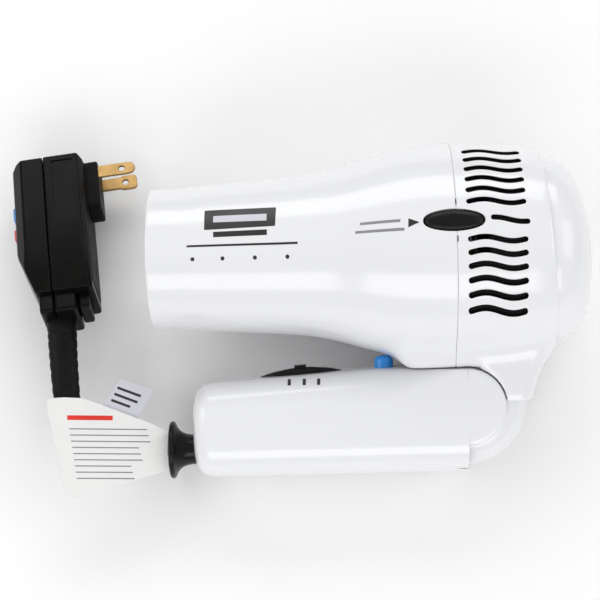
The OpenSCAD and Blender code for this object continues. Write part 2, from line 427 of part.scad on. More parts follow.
module plug_front() plug_at() color(black) difference() {
  union() {
    intersection() { plug_form(); box([16, -90, -20], [36, 1, 20]); }
    along_boss();
    box([16, -84, -12], [27, -73, 12]);
    box([27, -82, -9], [32.5, -73, 9]);
  }
  plug_inside();
  blade_pair(0);
  // recessed panel on each broad side
  for (s = [0, 1]) mirror([0, 0, s]) box([20, -30, 16.3], [30.5, -3, 20]);
}
module along_boss() translate([34, 0, 0]) rotate([90, 0, 90]) linear_extrude(7.4) union() {
  translate([-24, -8.5]) square([21, 17]); translate([-27, -5.5]) square([27, 11]);
  for (y = [-24, -3]) for (z = [-5.5, 5.5]) translate([y, z]) circle(r = 3, $fn = 32);
}
module plug_back() plug_at() color(black) difference() {
  union() {
    intersection() { plug_form(); box([-1, -90, -20], [16, 1, 20]); }
    box([9, -84, -12], [16, -73, 12]);
  }
  plug_inside();
  box([-3, -26.6, -4.4], [4, -18.4, 4.4]);
  box([-3, -37.6, -4.4], [4, -30.9, 4.4]);
}
module plug_board() plug_at() color([0.12, 0.35, 0.2]) { box([11, -62, -12.4], [12.6, -5, 12.4]); box([12.6, -40, -8], [22, -24, 8]); box([12.6, -58, -6], [19, -46, 6]); }
module plug_blades() plug_at() color(brass) blade_pair(0);
module test_button() plug_at() color([0.1, 0.45, 0.9]) { box([-2, -26.2, -4], [4.2, -18.8, 4]); box([3.2, -27.4, -5.2], [4.4, -17.6, 5.2]); box([4, -23.3, -1], [9.4, -21.7, 1]); }
module reset_button() plug_at() color([0.85, 0.15, 0.12]) { box([-1.3, -37.2, -4], [4.2, -31.3, 4]); box([3.2, -38.4, -5.2], [4.4, -30.1, 5.2]); box([4, -35, -1], [9.4, -33.4, 1]); }
// tapering strain relief, oval in section, from the plug to the cord
boot_route = [[-145.8, 1.6, 33.7], [-145.4, -4, 34.6], [-145, -10, 34.9], [-144.6, -17, 34.2], [-144.1, -25, 32.6], [-143.6, -33, 30.4], [-143.1, -40, 28.2]];
module cord_boot() color(black) {
  n = len(boot_route); m = 12;
  pts = [for (i = [0:n - 1]) let (t = unit(boot_route[min(i + 1, n - 1)] - boot_route[max(i - 1, 0)]), u = unit(cross(t, [0, 0, 1])), v = cross(t, u), a = 7.2 - 0.15 * i, b = 4.6 - 0.15 * i)
    for (k = [0:m - 1]) boot_route[i] + a * cos(360 * k / m) * u + b * sin(360 * k / m) * v];
  polyhedron(points = pts, faces = concat([[for (k = [0:m - 1]) k]],
    [for (i = [0:n - 2]) for (k = [0:m - 1]) let (p = i * m + k, q = i * m + (k + 1) % m) [p, p + m, q + m, q]], [[for (k = [m - 1:-1:0]) (n - 1) * m + k]]), convexity = 4);
}
cord_route = [[-88.3, -59.93, 20.63], [-98, -60, 20.6], [-108, -60, 20.6], [-117, -60, 20.8], [-125.5, -58.4, 22], [-132.8, -54.8, 23.6], [-138.2, -49.6, 25.4], [-141.6, -43.4, 27.3], [-143.2, -37, 29.1]];
module supply_cord() color(black) sweep(cord_route, cord_r, 10);
tag_2d = [[-57, 21], [-55.2, 22.9], [-48.7, 23.4], [-40.4, 23.1], [-30.8, 19.8], [-18.4, 14.6], [-8.6, 11.5], [-0.4, 7.6], [-0.4, -10.7], [-9.4, -13.5], [-21.3, -17.4],
  [-32.7, -20.9], [-42.2, -23.6], [-45.4, -23.4], [-47.6, -20.6], [-52.8, 2.8]];
module tag_at() translate([-96, -60, 25.5]) rotate([0, 9.8, 0]) children();
module warning_tag() color([0.95, 0.95, 0.94]) {
  tag_at() linear_extrude(0.5) polygon(tag_2d);
  // its wrap around the cord
  difference() {
    union() { translate([-112, -60, 20.6]) rotate([0, 90, 0]) cylinder(r = 2.9, h = 13, $fn = 32); box([-110, -60.25, 22], [-101, -59.75, 26.6]); }
    translate([-113, -60, 20.6]) rotate([0, 90, 0]) cylinder(r = 2.35, h = 15, $fn = 32);
  }
}
module cord_sticker() color([0.82, 0.82, 0.85]) tag_at() translate([0, 0, -0.4]) linear_extrude(0.4) polygon([[-22.7, 33], [-7.1, 27.6], [-14.4, 13.3], [-30.8, 19.8]]);

front_housing();
rear_housing();
rear_cap();
air_screen();
outlet_grille();
heat_shield();
mica_frame();
heater_coils();
thermal_cutouts();
ionizer_module();
ion_needle();
motor_mount();
motor_can();
motor_end_cap();
motor_magnets();
motor_bearings();
motor_brushes();
rectifier_board();
housing_screws();
heater_wires();
armature();
motor_shaft();
fan_impeller();
reel_frame();
reel_axle();
spring_case();
reel_spring();
brush_holder();
reel_spool();
slip_rings();
wound_cord();
cord_in_housing();
retract_button();
button_springs();
brake_lever();
brake_pin();
handle_left();
handle_right();
hinge_pin();
hinge_washers();
detent_spring();
handle_screws();
switch_bezel();
switch_slider();
switch_body();
cool_button();
cool_spring();
cool_switch();
cord_guide();
cord_in_handle();
supply_cord();
cord_boot();
plug_front();
plug_back();
plug_board();
plug_blades();
test_button();
reset_button();
warning_tag();
cord_sticker();
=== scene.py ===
import bpy, bmesh, math
import numpy as np
from mathutils import Matrix, Vector
from mathutils.geometry import delaunay_2d_cdt


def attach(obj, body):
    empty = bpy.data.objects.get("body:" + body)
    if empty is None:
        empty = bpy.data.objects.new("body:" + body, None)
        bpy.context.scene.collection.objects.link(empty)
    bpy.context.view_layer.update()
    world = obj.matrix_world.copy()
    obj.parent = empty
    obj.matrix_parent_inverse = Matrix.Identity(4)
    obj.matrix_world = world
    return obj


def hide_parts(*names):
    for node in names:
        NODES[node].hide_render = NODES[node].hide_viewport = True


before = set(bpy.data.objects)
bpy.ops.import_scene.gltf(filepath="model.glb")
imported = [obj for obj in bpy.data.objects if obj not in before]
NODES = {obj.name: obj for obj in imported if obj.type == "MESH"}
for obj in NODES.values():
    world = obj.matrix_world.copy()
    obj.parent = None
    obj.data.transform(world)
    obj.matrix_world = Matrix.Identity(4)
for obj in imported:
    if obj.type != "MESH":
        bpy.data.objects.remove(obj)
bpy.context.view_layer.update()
scene = bpy.context.scene
rad = math.radians

# ------------------------------------------------------------------ frames
MM = Matrix.Scale(0.001, 4)
ML = MM @ Matrix.Translation((-97.34, 24.4, 50.0)) @ Matrix.Rotation(rad(19.2), 4, "X")
MP = MM @ Matrix.Translation((-173, 79, 16.65)) @ Matrix.Rotation(rad(7), 4, "Z") @ Matrix.Rotation(rad(-12), 4, "X")
MT = MM @ Matrix.Translation((-96, -60, 25.5)) @ Matrix.Rotation(rad(9.8), 4, "Y")
MB = ML @ Matrix.Rotation(rad(-17), 4, "X")
SLOPE = math.atan(4.5 / 73)
MS = ML @ Matrix.Translation((64, -55.1, 0)) @ Matrix.Rotation(SLOPE, 4, "Z")
PX, PY = 140.0, -70.5

# ------------------------------------------------------------------ camera
cam_data = bpy.data.cameras.new("cam")
cam = bpy.data.objects.new("cam", cam_data)
scene.collection.objects.link(cam)
cam_data.lens, cam_data.sensor_width = 98.04, 36.0
cam_data.clip_start, cam_data.clip_end = 0.05, 20
cam.matrix_world = Matrix((
    (0.99926757, 0.02791207, 0.02617695, -0.012834),
    (-0.01922468, 0.95765909, -0.28726205, -0.213963),
    (-0.03308667, 0.28654841, 0.95749427, 0.772650),
    (0, 0, 0, 1)))
scene.camera = cam


# ------------------------------------------------------------------ materials
def node(nt, kind, **kw):
    n = nt.nodes.new(kind)
    for k, v in kw.items():
        if k == "inputs":
            for i, val in v.items():
                n.inputs[i].default_value = val
        else:
            setattr(n, k, v)
    return n


def ramp(nt, fac, stops):
    r = nt.nodes.new("ShaderNodeValToRGB")
    r.color_ramp.elements[0].position, r.color_ramp.elements[0].color = stops[0][0], (*stops[0][1], 1)
    r.color_ramp.elements[1].position, r.color_ramp.elements[1].color = stops[-1][0], (*stops[-1][1], 1)
    for p, c in stops[1:-1]:
        e = r.color_ramp.elements.new(p)
        e.color = (*c, 1)
    nt.links.new(fac, r.inputs[0])
    return r.outputs[0]


def material(name, color, rough=0.3, var=0.05, tint=0.03, metallic=0.0, coat=0.0, coat_rough=0.05, ior=1.5,
             grain=900.0, grain_bump=0.02, grain_dist=0.0002, wave=40.0, wave_bump=0.0, scratch=0.0, stretch=(1, 1, 1),
             spec=0.5, sss=0.0):
    """Moulded or metal surface: slight colour drift, uneven gloss, fine grain and a long soft ripple."""
    m = bpy.data.materials.new(name)
    m.use_nodes = True
    nt = m.node_tree
    b = nt.nodes["Principled BSDF"]
    b.inputs["Metallic"].default_value = metallic
    b.inputs["IOR"].default_value = ior
    b.inputs["Specular IOR Level"].default_value = spec
    b.inputs["Coat Weight"].default_value = coat
    b.inputs["Coat Roughness"].default_value = coat_rough
    if sss:
        b.inputs["Subsurface Weight"].default_value = sss
        b.inputs["Subsurface Radius"].default_value = (0.002, 0.002, 0.002)
        b.inputs["Subsurface Scale"].default_value = 1.0
    tc = node(nt, "ShaderNodeTexCoord")
    mp = node(nt, "ShaderNodeMapping")
    mp.inputs["Scale"].default_value = stretch
    nt.links.new(tc.outputs["Object"], mp.inputs[0])
    n1 = node(nt, "ShaderNodeTexNoise", inputs={"Scale": 55.0, "Detail": 4.0, "Roughness": 0.6})
    nt.links.new(mp.outputs[0], n1.inputs["Vector"])
    dark = tuple(max(0.0, c * (1 - tint)) for c in color)
    lite = tuple(min(1.0, c * (1 + tint)) for c in color)
    col = ramp(nt, n1.outputs[0], [(0.3, dark), (0.7, lite)])
    nt.links.new(col, b.inputs["Base Color"])
    n2 = node(nt, "ShaderNodeTexNoise", inputs={"Scale": 160.0, "Detail": 6.0, "Roughness": 0.65})
    nt.links.new(mp.outputs[0], n2.inputs["Vector"])
    mr = node(nt, "ShaderNodeMapRange", inputs={"From Min": 0.3, "From Max": 0.7, "To Min": max(0.02, rough - var), "To Max": rough + var})
    nt.links.new(n2.outputs[0], mr.inputs[0])
    nt.links.new(mr.outputs[0], b.inputs["Roughness"])
    n3 = node(nt, "ShaderNodeTexNoise", inputs={"Scale": grain, "Detail": 3.0, "Roughness": 0.6})
    nt.links.new(mp.outputs[0], n3.inputs["Vector"])
    bump = node(nt, "ShaderNodeBump", inputs={"Strength": grain_bump, "Distance": grain_dist})
    nt.links.new(n3.outputs[0], bump.inputs["Height"])
    last = bump
    if wave_bump:
        n4 = node(nt, "ShaderNodeTexNoise", inputs={"Scale": wave, "Detail": 1.0})
        nt.links.new(mp.outputs[0], n4.inputs["Vector"])
        b2 = node(nt, "ShaderNodeBump", inputs={"Strength": wave_bump, "Distance": 0.0006})
        nt.links.new(n4.outputs[0], b2.inputs["Height"])
        nt.links.new(bump.outputs[0], b2.inputs["Normal"])
        last = b2
    if scratch:
        mp2 = node(nt, "ShaderNodeMapping")
        mp2.inputs["Scale"].default_value = (30, 900, 900)
        mp2.inputs["Rotation"].default_value = (0, 0.1, 0.25)
        nt.links.new(tc.outputs["Object"], mp2.inputs[0])
        n5 = node(nt, "ShaderNodeTexNoise", inputs={"Scale": 1.0, "Detail": 5.0, "Roughness": 0.7})
        nt.links.new(mp2.outputs[0], n5.inputs["Vector"])
        b3 = node(nt, "ShaderNodeBump", inputs={"Strength": scratch, "Distance": 0.0001})
        nt.links.new(n5.outputs[0], b3.inputs["Height"])
        nt.links.new(last.outputs[0], b3.inputs["Normal"])
        last = b3
    nt.links.new(last.outputs[0], b.inputs["Normal"])
    return m


M = {
    "white": material("white_gloss", (0.80, 0.805, 0.825), rough=0.20, var=0.03, tint=0.006, coat=0.35, coat_rough=0.06,
                      grain=1400, grain_bump=0.03, grain_dist=0.00008, wave=22, wave_bump=0.03),
    "white_cut": material("white_edge", (0.60, 0.605, 0.62), rough=0.35, tint=0.02, grain=1500, grain_bump=0.05),
    # screen_black is the air screen's own colour and is also used as painted shade on the barrel's slot walls and
    # inside (shell_piece)
    "mesh": material("screen_black", (0.008, 0.008, 0.008), rough=0.6, spec=0.03, var=0.1, tint=0.3, grain=2500, grain_bump=0.3),
    "wire": material("screen_wire", (0.03, 0.03, 0.03), rough=0.5, spec=0.08, var=0.1, tint=0.3, grain=2500, grain_bump=0.2),
    "grille": material("grille_black", (0.02, 0.02, 0.02), rough=0.38, var=0.07, tint=0.2, grain=1800, grain_bump=0.15),
    "mica": material("mica", (0.50, 0.42, 0.28), rough=0.42, var=0.12, tint=0.25, grain=600, grain_bump=0.25, coat=0.2, stretch=(1, 3, 3)),
    "nichrome": material("nichrome", (0.42, 0.40, 0.38), rough=0.35, tint=0.25, metallic=1, grain=2600, grain_bump=0.2),
    "steel": material("steel", (0.55, 0.56, 0.58), rough=0.28, var=0.1, tint=0.08, metallic=1, grain=2000, grain_bump=0.1, scratch=0.2),
    "potting": material("potting_blue", (0.03, 0.06, 0.16), rough=0.3, tint=0.2, grain=700, grain_bump=0.2),
    "magnet": material("magnet", (0.06, 0.06, 0.065), rough=0.6, tint=0.3, metallic=0.4, grain=1800, grain_bump=0.5),
    "carbon": material("carbon", (0.03, 0.03, 0.03), rough=0.5, tint=0.3, grain=2200, grain_bump=0.4),
    "dark": material("dark_plastic", (0.035, 0.035, 0.037), rough=0.42, tint=0.15, grain=1600, grain_bump=0.2),
    "copper": material("copper", (0.55, 0.24, 0.10), rough=0.3, tint=0.2, metallic=1, grain=2400, grain_bump=0.5, stretch=(1, 6, 6)),
    "board": material("board", (0.02, 0.12, 0.05), rough=0.35, tint=0.3, grain=900, grain_bump=0.2, coat=0.3),
    "redwire": material("red_wire", (0.42, 0.02, 0.015), rough=0.4, tint=0.1, grain=1500, grain_bump=0.1),
    "black": material("black_gloss", (0.0054, 0.005175, 0.00495), spec=0.16, rough=0.22, var=0.06, tint=0.15, grain=1500, grain_bump=0.06, coat=0.1),
    "button": material("button_black", (0.00585, 0.0054, 0.00495), spec=0.2, rough=0.30, var=0.10, tint=0.3, grain=1300, grain_bump=0.22, grain_dist=0.0003,
                       wave=150, wave_bump=0.12),
    "plug": material("plug_black", (0.0054, 0.00495, 0.0045), spec=0.07, rough=0.24, var=0.06, tint=0.2, grain=1600, grain_bump=0.10, coat=0.0, wave=60, wave_bump=0.05),
    "plug_matte": material("plug_face", (0.00765, 0.00675, 0.0063), spec=0.07, rough=0.5, var=0.08, tint=0.2, grain=1900, grain_bump=0.35),
    "rubber": material("cord_rubber", (0.00585, 0.005625, 0.0054), spec=0.12, rough=0.40, var=0.07, tint=0.2, grain=1700, grain_bump=0.25),
    "blue": material("button_blue", (0.02, 0.30, 0.82), rough=0.25, var=0.05, tint=0.06, grain=1500, grain_bump=0.08, coat=0.15, sss=0.15),
    "red": material("button_red", (0.72, 0.03, 0.02), rough=0.28, tint=0.06, grain=1500, grain_bump=0.08, coat=0.15),
    "tag": material("tag_white", (0.80, 0.80, 0.79), rough=0.36, var=0.08, tint=0.015, grain=1300, grain_bump=0.15, wave=45, wave_bump=0.10, coat=0.1),
    "sticker": material("sticker_grey", (0.60, 0.60, 0.66), rough=0.45, tint=0.03, grain=1500, grain_bump=0.15),
    "ink": material("ink_black", (0.02, 0.02, 0.02), rough=0.4, tint=0.2, grain=2000, grain_bump=0.1),
    "ink_red": material("ink_red", (0.70, 0.03, 0.02), rough=0.4, tint=0.1, grain=2000, grain_bump=0.1),
    "ink_grey": material("ink_grey", (0.25, 0.25, 0.26), rough=0.45, tint=0.1, grain=2000, grain_bump=0.1),
    "brass": material("brass", (0.36, 0.23, 0.09), rough=0.40, var=0.09, tint=0.14, metallic=1, grain=1500, grain_bump=0.10, scratch=0.35),
}


# ------------------------------------------------------------------ mesh helpers
def link(name, me):
    o = bpy.data.objects.new(name, me)
    scene.collection.objects.link(o)
    return o


def piece(name, verts, faces, mat, body, mtx=ML, angle=32, rep=(), slot=None, fix=True):
    me = bpy.data.meshes.new(name)
    me.from_pydata([tuple(map(float, v)) for v in verts], [], [tuple(int(i) for i in f) for f in faces])
    me.validate()
    if fix:
        bm = bmesh.new()
        bm.from_mesh(me)
        bmesh.ops.recalc_face_normals(bm, faces=bm.faces)
        bm.to_mesh(me)
        bm.free()
    me.transform(mtx)
    me.update()
    return dress(link(name, me), mat, body, angle, rep)


def dress(o, mat, body, angle=32, rep=()):
    me = o.data
    me.materials.clear()
    me.materials.append(M[mat] if isinstance(mat, str) else mat)
    if angle is not None:
        me.shade_smooth()
        me.set_sharp_from_angle(angle=rad(angle))
    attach(o, body)
    if rep:
        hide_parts(*rep)
    return o


def bevel(o, w, seg=3, angle=30, weighted=True):
    b = o.modifiers.new("bevel", "BEVEL")
    b.width, b.segments, b.limit_method, b.angle_limit = w * 0.001, seg, "ANGLE", rad(angle)
    b.miter_outer = "MITER_ARC"
    if weighted:
        wn = o.modifiers.new("wn", "WEIGHTED_NORMAL")
        wn.keep_sharp = True
    return o


def bake(o):
    """Applies o's modifiers to its mesh."""
    dg = bpy.context.evaluated_depsgraph_get()
    me = bpy.data.meshes.new_from_object(o.evaluated_get(dg))
    old = o.data
    o.modifiers.clear()
    o.data = me
    me.name = o.name
    return o


def cutter(verts, faces, mtx=ML):
    me = bpy.data.meshes.new("cutter")
    me.from_pydata([tuple(map(float, v)) for v in verts], [], faces)
    bm = bmesh.new()
    bm.from_mesh(me)
    bmesh.ops.recalc_face_normals(bm, faces=bm.faces)
    bm.to_mesh(me)
    bm.free()
    me.transform(mtx)
    return link("cutter", me)


def boolean(o, cutters, op="DIFFERENCE"):
    for c in cutters:
        b = o.modifiers.new("b", "BOOLEAN")
        b.object, b.operation, b.solver = c, op, "EXACT"
        bake(o)
        bpy.data.objects.remove(c)
    return o


def prism(pts, z0, z1):
    """Outline of (x, y) points extruded over z."""
    n = len(pts)
    v = [(x, y, z0) for x, y in pts] + [(x, y, z1) for x, y in pts]
    return v, [tuple(range(n))[::-1], tuple(range(n, 2 * n))] + [(i, (i + 1) % n, n + (i + 1) % n, n + i) for i in range(n)]


def boxv(a, b):
    return prism([(a[0], a[1]), (b[0], a[1]), (b[0], b[1]), (a[0], b[1])], a[2], b[2])


def lathe(prof, n=96, axis="x", c=(0, 0, 0), a0=0.0, a1=360.0):
    """Closed profile of (r, t) points turned about an axis through c. Points on the axis are merged."""
    v, f, ring = [], [], []
    for r, t in prof:
        if r < 1e-6:
            ring.append([len(v)] * n)
            v.append((0, 0, t))
        else:
            ring.append(list(range(len(v), len(v) + n)))
            v += [(r * math.cos(2 * math.pi * k / n), r * math.sin(2 * math.pi * k / n), t) for k in range(n)]
    m = len(prof)
    for i in range(m):
        a, b = ring[i], ring[(i + 1) % m]
        for k in range(n):
            q = [a[k], a[(k + 1) % n], b[(k + 1) % n], b[k]]
            q = [x for j, x in enumerate(q) if x not in q[:j]]
            if len(q) > 2:
                f.append(tuple(q))
    if axis == "x":
        v = [(z + c[0], x + c[1], y + c[2]) for x, y, z in v]
    elif axis == "y":
        v = [(y + c[0], z + c[1], x + c[2]) for x, y, z in v]
    else:
        v = [(x + c[0], y + c[1], z + c[2]) for x, y, z in v]
    return v, f


def tube(path, radii, sides=20, close=True):
    """Tube along a path (mm). radii: (a, b) per point, a along the sideways direction."""
    p = [Vector(q) for q in path]
    n = len(p)
    t = [(p[min(i + 1, n - 1)] - p[max(i - 1, 0)]).normalized() for i in range(n)]
    u = t[0].cross(Vector((0, 0, 1))).normalized()
    v, f = [], []
    for i in range(n):
        u = (u - t[i] * u.dot(t[i])).normalized()
        w = t[i].cross(u)
        a, b = radii[i] if not callable(radii) else radii(i / (n - 1))
        for k in range(sides):
            s = 2 * math.pi * k / sides
            v.append(tuple(p[i] + u * (a * math.cos(s)) + w * (b * math.sin(s))))
    for i in range(n - 1):
        for k in range(sides):
            f.append((i * sides + k, i * sides + (k + 1) % sides, (i + 1) * sides + (k + 1) % sides, (i + 1) * sides + k))
    f.append(tuple(range(sides))[::-1])
    f.append(tuple(range((n - 1) * sides, n * sides)))
    return v, f


def spline(pts, k=6):
    """Catmull-Rom through the points."""
    p = [Vector(q) for q in pts]
    p = [2 * p[0] - p[1]] + p + [2 * p[-1] - p[-2]]
    out = []
    for i in range(1, len(p) - 2):
        for j in range(k):
            t = j / k
            a, b, c, d = p[i - 1], p[i], p[i + 1], p[i + 2]
            out.append(0.5 * ((2 * b) + (c - a) * t + (2 * a - 5 * b + 4 * c - d) * t * t + (3 * b - a - 3 * c + d) * t ** 3))
    out.append(p[-2])
    return out


def convex(planes, size=400.0):
    bm = bmesh.new()
    bmesh.ops.create_cube(bm, size=size)
    for co, no in planes:
        bmesh.ops.bisect_plane(bm, geom=bm.verts[:] + bm.edges[:] + bm.faces[:], plane_co=co, plane_no=no, clear_outer=True)
        e = [x for x in bm.edges if x.is_boundary]
        if e:
            bmesh.ops.edgeloop_fill(bm, edges=e)
    bmesh.ops.recalc_face_normals(bm, faces=bm.faces)
    bm.verts.index_update()
    v = [tuple(x.co) for x in bm.verts]
    f = [tuple(x.index for x in q.verts) for q in bm.faces]
    bm.free()
    return v, f


def sheet(outline, step, top, bottom):
    """Thin closed sheet over an outline; top and bottom turn (x, y) into points."""
    ol = []
    n = len(outline)
    for i in range(n):
        a, b = outline[i], outline[(i + 1) % n]
        k = max(1, round(math.hypot(b[0] - a[0], b[1] - a[1]) / step))
        ol += [(a[0] + (b[0] - a[0]) * j / k, a[1] + (b[1] - a[1]) * j / k) for j in range(k)]
    xs, ys = [p[0] for p in ol], [p[1] for p in ol]
    inner = np.array([(x, y) for x in np.arange(min(xs), max(xs), step) for y in np.arange(min(ys), max(ys), step)]).reshape(-1, 2)
    if len(inner):
        inner = inner[sd_poly(inner[:, 0], inner[:, 1], ol) < -0.6 * step]
    pts = [Vector(p) for p in ol] + [Vector(p) for p in inner]
    m = len(ol)
    res = delaunay_2d_cdt(pts, [(i, (i + 1) % m) for i in range(m)], [], 1, 1e-6, True)
    rv, rf = res[0], res[2]
    k = len(rv)
    v = [top(p[0], p[1]) for p in rv] + [bottom(p[0], p[1]) for p in rv]
    cnt = {(a, b) for t in rf for a, b in zip(t, list(t[1:]) + [t[0]])}
    rim = [(a, b) for a, b in cnt if (b, a) not in cnt]
    return v, [tuple(t) for t in rf] + [tuple(q + k for q in t[::-1]) for t in rf] + [(b, a, a + k, b + k) for a, b in rim]


def joined(parts):
    v, f = [], []
    for a, b in parts:
        f += [tuple(i + len(v) for i in q) for q in b]
        v += list(a)
    return v, f


def rounded(outline, r, n=5):
    """Rounds the sharper corners of an outline."""
    out = []
    m = len(outline)
    for i in range(m):
        p0, p1, p2 = Vector(outline[i - 1]), Vector(outline[i]), Vector(outline[(i + 1) % m])
        a, b = (p0 - p1), (p2 - p1)
        ang = a.angle(b)
        if ang > rad(150):
            out.append(tuple(p1))
            continue
        d = min(r / math.tan(ang / 2), a.length * 0.45, b.length * 0.45)
        s, e = p1 + a.normalized() * d, p1 + b.normalized() * d
        for k in range(n + 1):
            t = k / n
            out.append(tuple((1 - t) ** 2 * s + 2 * t * (1 - t) * p1 + t * t * e))
    return out


def strip(a, b, w):
    """Outline of a straight bar from a to b, w wide."""
    d = Vector((b[0] - a[0], b[1] - a[1])).normalized() * (w / 2)
    return [(a[0] - d.y, a[1] + d.x), (a[0] + d.y, a[1] - d.x), (b[0] + d.y, b[1] - d.x), (b[0] - d.y, b[1] + d.x)]


# ------------------------------------------------------------------ cord (route repeated from the CAD source)
CORD = [[-88.3, -59.93, 20.63], [-98, -60, 20.6], [-108, -60, 20.6], [-117, -60, 20.8], [-125.5, -58.4, 22], [-132.8, -54.8, 23.6],
        [-138.2, -49.6, 25.4], [-141.6, -43.4, 27.3], [-143.2, -37, 29.1]]
BOOT = [[-145.8, 1.6, 33.7], [-145.4, -4, 34.6], [-145, -10, 34.9], [-144.6, -17, 34.2], [-144.1, -25, 32.6], [-143.6, -33, 30.4],
        [-143.1, -40, 28.2]]
route = spline(CORD[:-1] + [CORD[-1]] + BOOT[::-1][2:], 6)
v, f = tube(route, [(2.4, 2.4)] * len(route), 24)
cord = piece("cord_tube", v, f, "rubber", "handle", MM, 50, rep=("supply_cord",), slot="cord_black")
bs = spline(BOOT, 8)
nb = len(bs)


def boot_r(t):
    g = 1.0
    k = t * 9.0
    if 0.18 < t < 0.97:
        g = 0.965 if (k % 1.0) > 0.62 else 1.0
    return (7.25 - 0.95 * t) * g, (4.65 - 0.95 * t) * g


v, f = tube(bs, [boot_r(i / (nb - 1)) for i in range(nb)], 32)
boot = piece("strain_relief", v, f, "rubber", "handle", MM, 40, rep=("cord_boot",), slot="cord_black")
bevel(boot, 0.5, 2, 50, False)


# ------------------------------------------------------------------ barrel surface
PROF = [(-3.6, 31.7), (-3.3, 32.25), (-2.7, 32.55), (-2, 32.6), (8, 32.65), (20, 33.7), (38, 35), (57, 36.3), (66, 37.2), (75.6, 38.8), (85, 41.2), (94, 44),
        (104, 46.6), (113, 48.5), (122, 49.5), (129, 49.9), (135, 49.95), (141, 49.6), (150, 49.1), (160, 48.4), (169, 47.2), (174, 46.2),
        (178, 45.2), (182, 44.0), (190, 41.0)]


def pchip(px, py, x):
    px, py = np.array(px, float), np.array(py, float)
    h = np.diff(px)
    d = np.diff(py) / h
    m = np.zeros(len(px))
    m[0], m[-1] = d[0], d[-1]
    for i in range(1, len(px) - 1):
        if d[i - 1] * d[i] > 0:
            w1, w2 = 2 * h[i] + h[i - 1], h[i] + 2 * h[i - 1]
            m[i] = (w1 + w2) / (w1 / d[i - 1] + w2 / d[i])
    x = np.asarray(x, float)
    i = np.clip(np.searchsorted(px, x) - 1, 0, len(px) - 2)
    t = (x - px[i]) / h[i]
    return ((2 * t ** 3 - 3 * t ** 2 + 1) * py[i] + (t ** 3 - 2 * t ** 2 + t) * h[i] * m[i] + (-2 * t ** 3 + 3 * t ** 2) * py[i + 1]
            + (t ** 3 - t ** 2) * h[i] * m[i + 1])


TX = np.arange(-3.6, 190.01, 0.1)
TR = pchip(*zip(*PROF), TX)
kern = np.exp(-0.5 * (np.arange(-120, 121) * 0.1 / 3.2) ** 2)
kern /= kern.sum()
pad = np.concatenate([2 * TR[0] - TR[120:0:-1], TR, 2 * TR[-1] - TR[-2:-122:-1]])
sm = np.convolve(pad, kern, "valid")
mix = np.clip((TX - 6) / 8, 0, 1)
TR = TR * (1 - mix) + sm * mix


def R_of(x):
    return np.interp(x, TX, TR)


def sd_poly(px, py, poly):
    d = np.full(px.shape, 1e9)
    s = np.ones(px.shape)
    n = len(poly)
    for i in range(n):
        ax, ay = poly[i]
        bx, by = poly[i - 1]
        ex, ey = bx - ax, by - ay
        wx, wy = px - ax, py - ay
        t = np.clip((wx * ex + wy * ey) / (ex * ex + ey * ey), 0, 1)
        qx, qy = wx - ex * t, wy - ey * t
        d = np.minimum(d, qx * qx + qy * qy)
        c1, c2, c3 = py >= ay, py < by, ex * wy > ey * wx
        flip = (c1 & c2 & c3) | (~c1 & ~c2 & ~c3)
        s = np.where(flip, -s, s)
    return s * np.sqrt(d)


def smin(a, b, k):
    h = np.clip(0.5 + 0.5 * (b - a) / k, 0, 1)
    return b * (1 - h) + a * h - k * h * (1 - h)


def smax(a, b, k):
    return -smin(-a, -b, k)


NECK = [(111, -20), (109.6, -44), (111.5, -56), (113, -75), (166, -75), (169.6, -69.8), (170.6, -65), (172.4, -59), (174.9, -53.4), (177.8, -47.8),
        (179.5, -44), (179.5, -20)]


def sdf_housing(x, y, z):
    bar = np.sqrt(y * y + z * z) - R_of(x)
    r = 7.5
    d = sd_poly(x, y, NECK)
    w1, w2 = d + r, np.abs(z) - 22 + r
    neck = np.minimum(np.maximum(w1, w2), 0) + np.hypot(np.maximum(w1, 0), np.maximum(w2, 0)) - r
    s = smin(bar, neck, 9.0)
    cut = np.minimum(np.hypot(x - PX, y - PY) - 18.1, np.maximum(x - PX - 6, y + 52.6))
    cut = np.minimum(cut, y + 68.2)
    # the lower edge is well rounded in front of the hinge and crisp behind it
    return smax(s, -cut, 1.2 + 4.0 * np.clip((152 - x) / 10, 0, 1))


def march(x, a, sdf, r0=28.0, r1=90.0, step=0.7, cy=0.0):
    ca, sa = np.cos(a), np.sin(a)
    lo = np.full(x.shape, r0)
    hi = np.full(x.shape, np.nan)
    done = np.zeros(x.shape, bool)
    r = r0
    while r < r1:
        r += step
        out = (sdf(x, cy + r * ca, r * sa) > 0) & ~done
        hi[out] = r
        lo[out] = r - step
        done |= out
        if done.all():
            break
    hi = np.where(np.isnan(hi), r1, hi)
    for _ in range(22):
        m = 0.5 * (lo + hi)
        o = sdf(x, cy + m * ca, m * sa) > 0
        hi = np.where(o, m, hi)
        lo = np.where(o, lo, m)
    return 0.5 * (lo + hi)


def steps(*spans):
    out = []
    for a, b, s in spans:
        n = max(1, round((b - a) / s))
        out += [a + (b - a) * i / n for i in range(n)]
    return out + [spans[-1][1]]


XS = [-3.6, -3.45, -3.2, -2.8, -2.3] + steps((-2, 20, 2.0), (20, 104, 2.0), (104, 112, 0.8), (112, 134, 1.0), (134, 134.6, 0.6), (134.6, 135, 0.4),
                                           (135, 135.4, 0.4), (135.4, 136, 0.6), (136, 152, 1.0), (152, 159, 0.5), (159, 167, 1.0), (167, 177.2, 0.7),
                                           (177.2, 177.8, 0.6), (177.8, 178, 0.2))
AS = steps((0, 140, 2.5), (140, 150, 1.25), (150, 172, 0.8), (172, 188, 1.6), (188, 210, 0.8), (210, 220, 1.25), (220, 360, 2.5))[:-1]
XS, AS = np.array(XS), np.radians(np.array(AS))
NX, NA = len(XS), len(AS)
GX, GA = np.meshgrid(XS, AS, indexing="ij")
WB = np.array([0, math.sin(rad(17)), math.cos(rad(17))])
S0 = 48.0  # turns angle into a length for triangulating


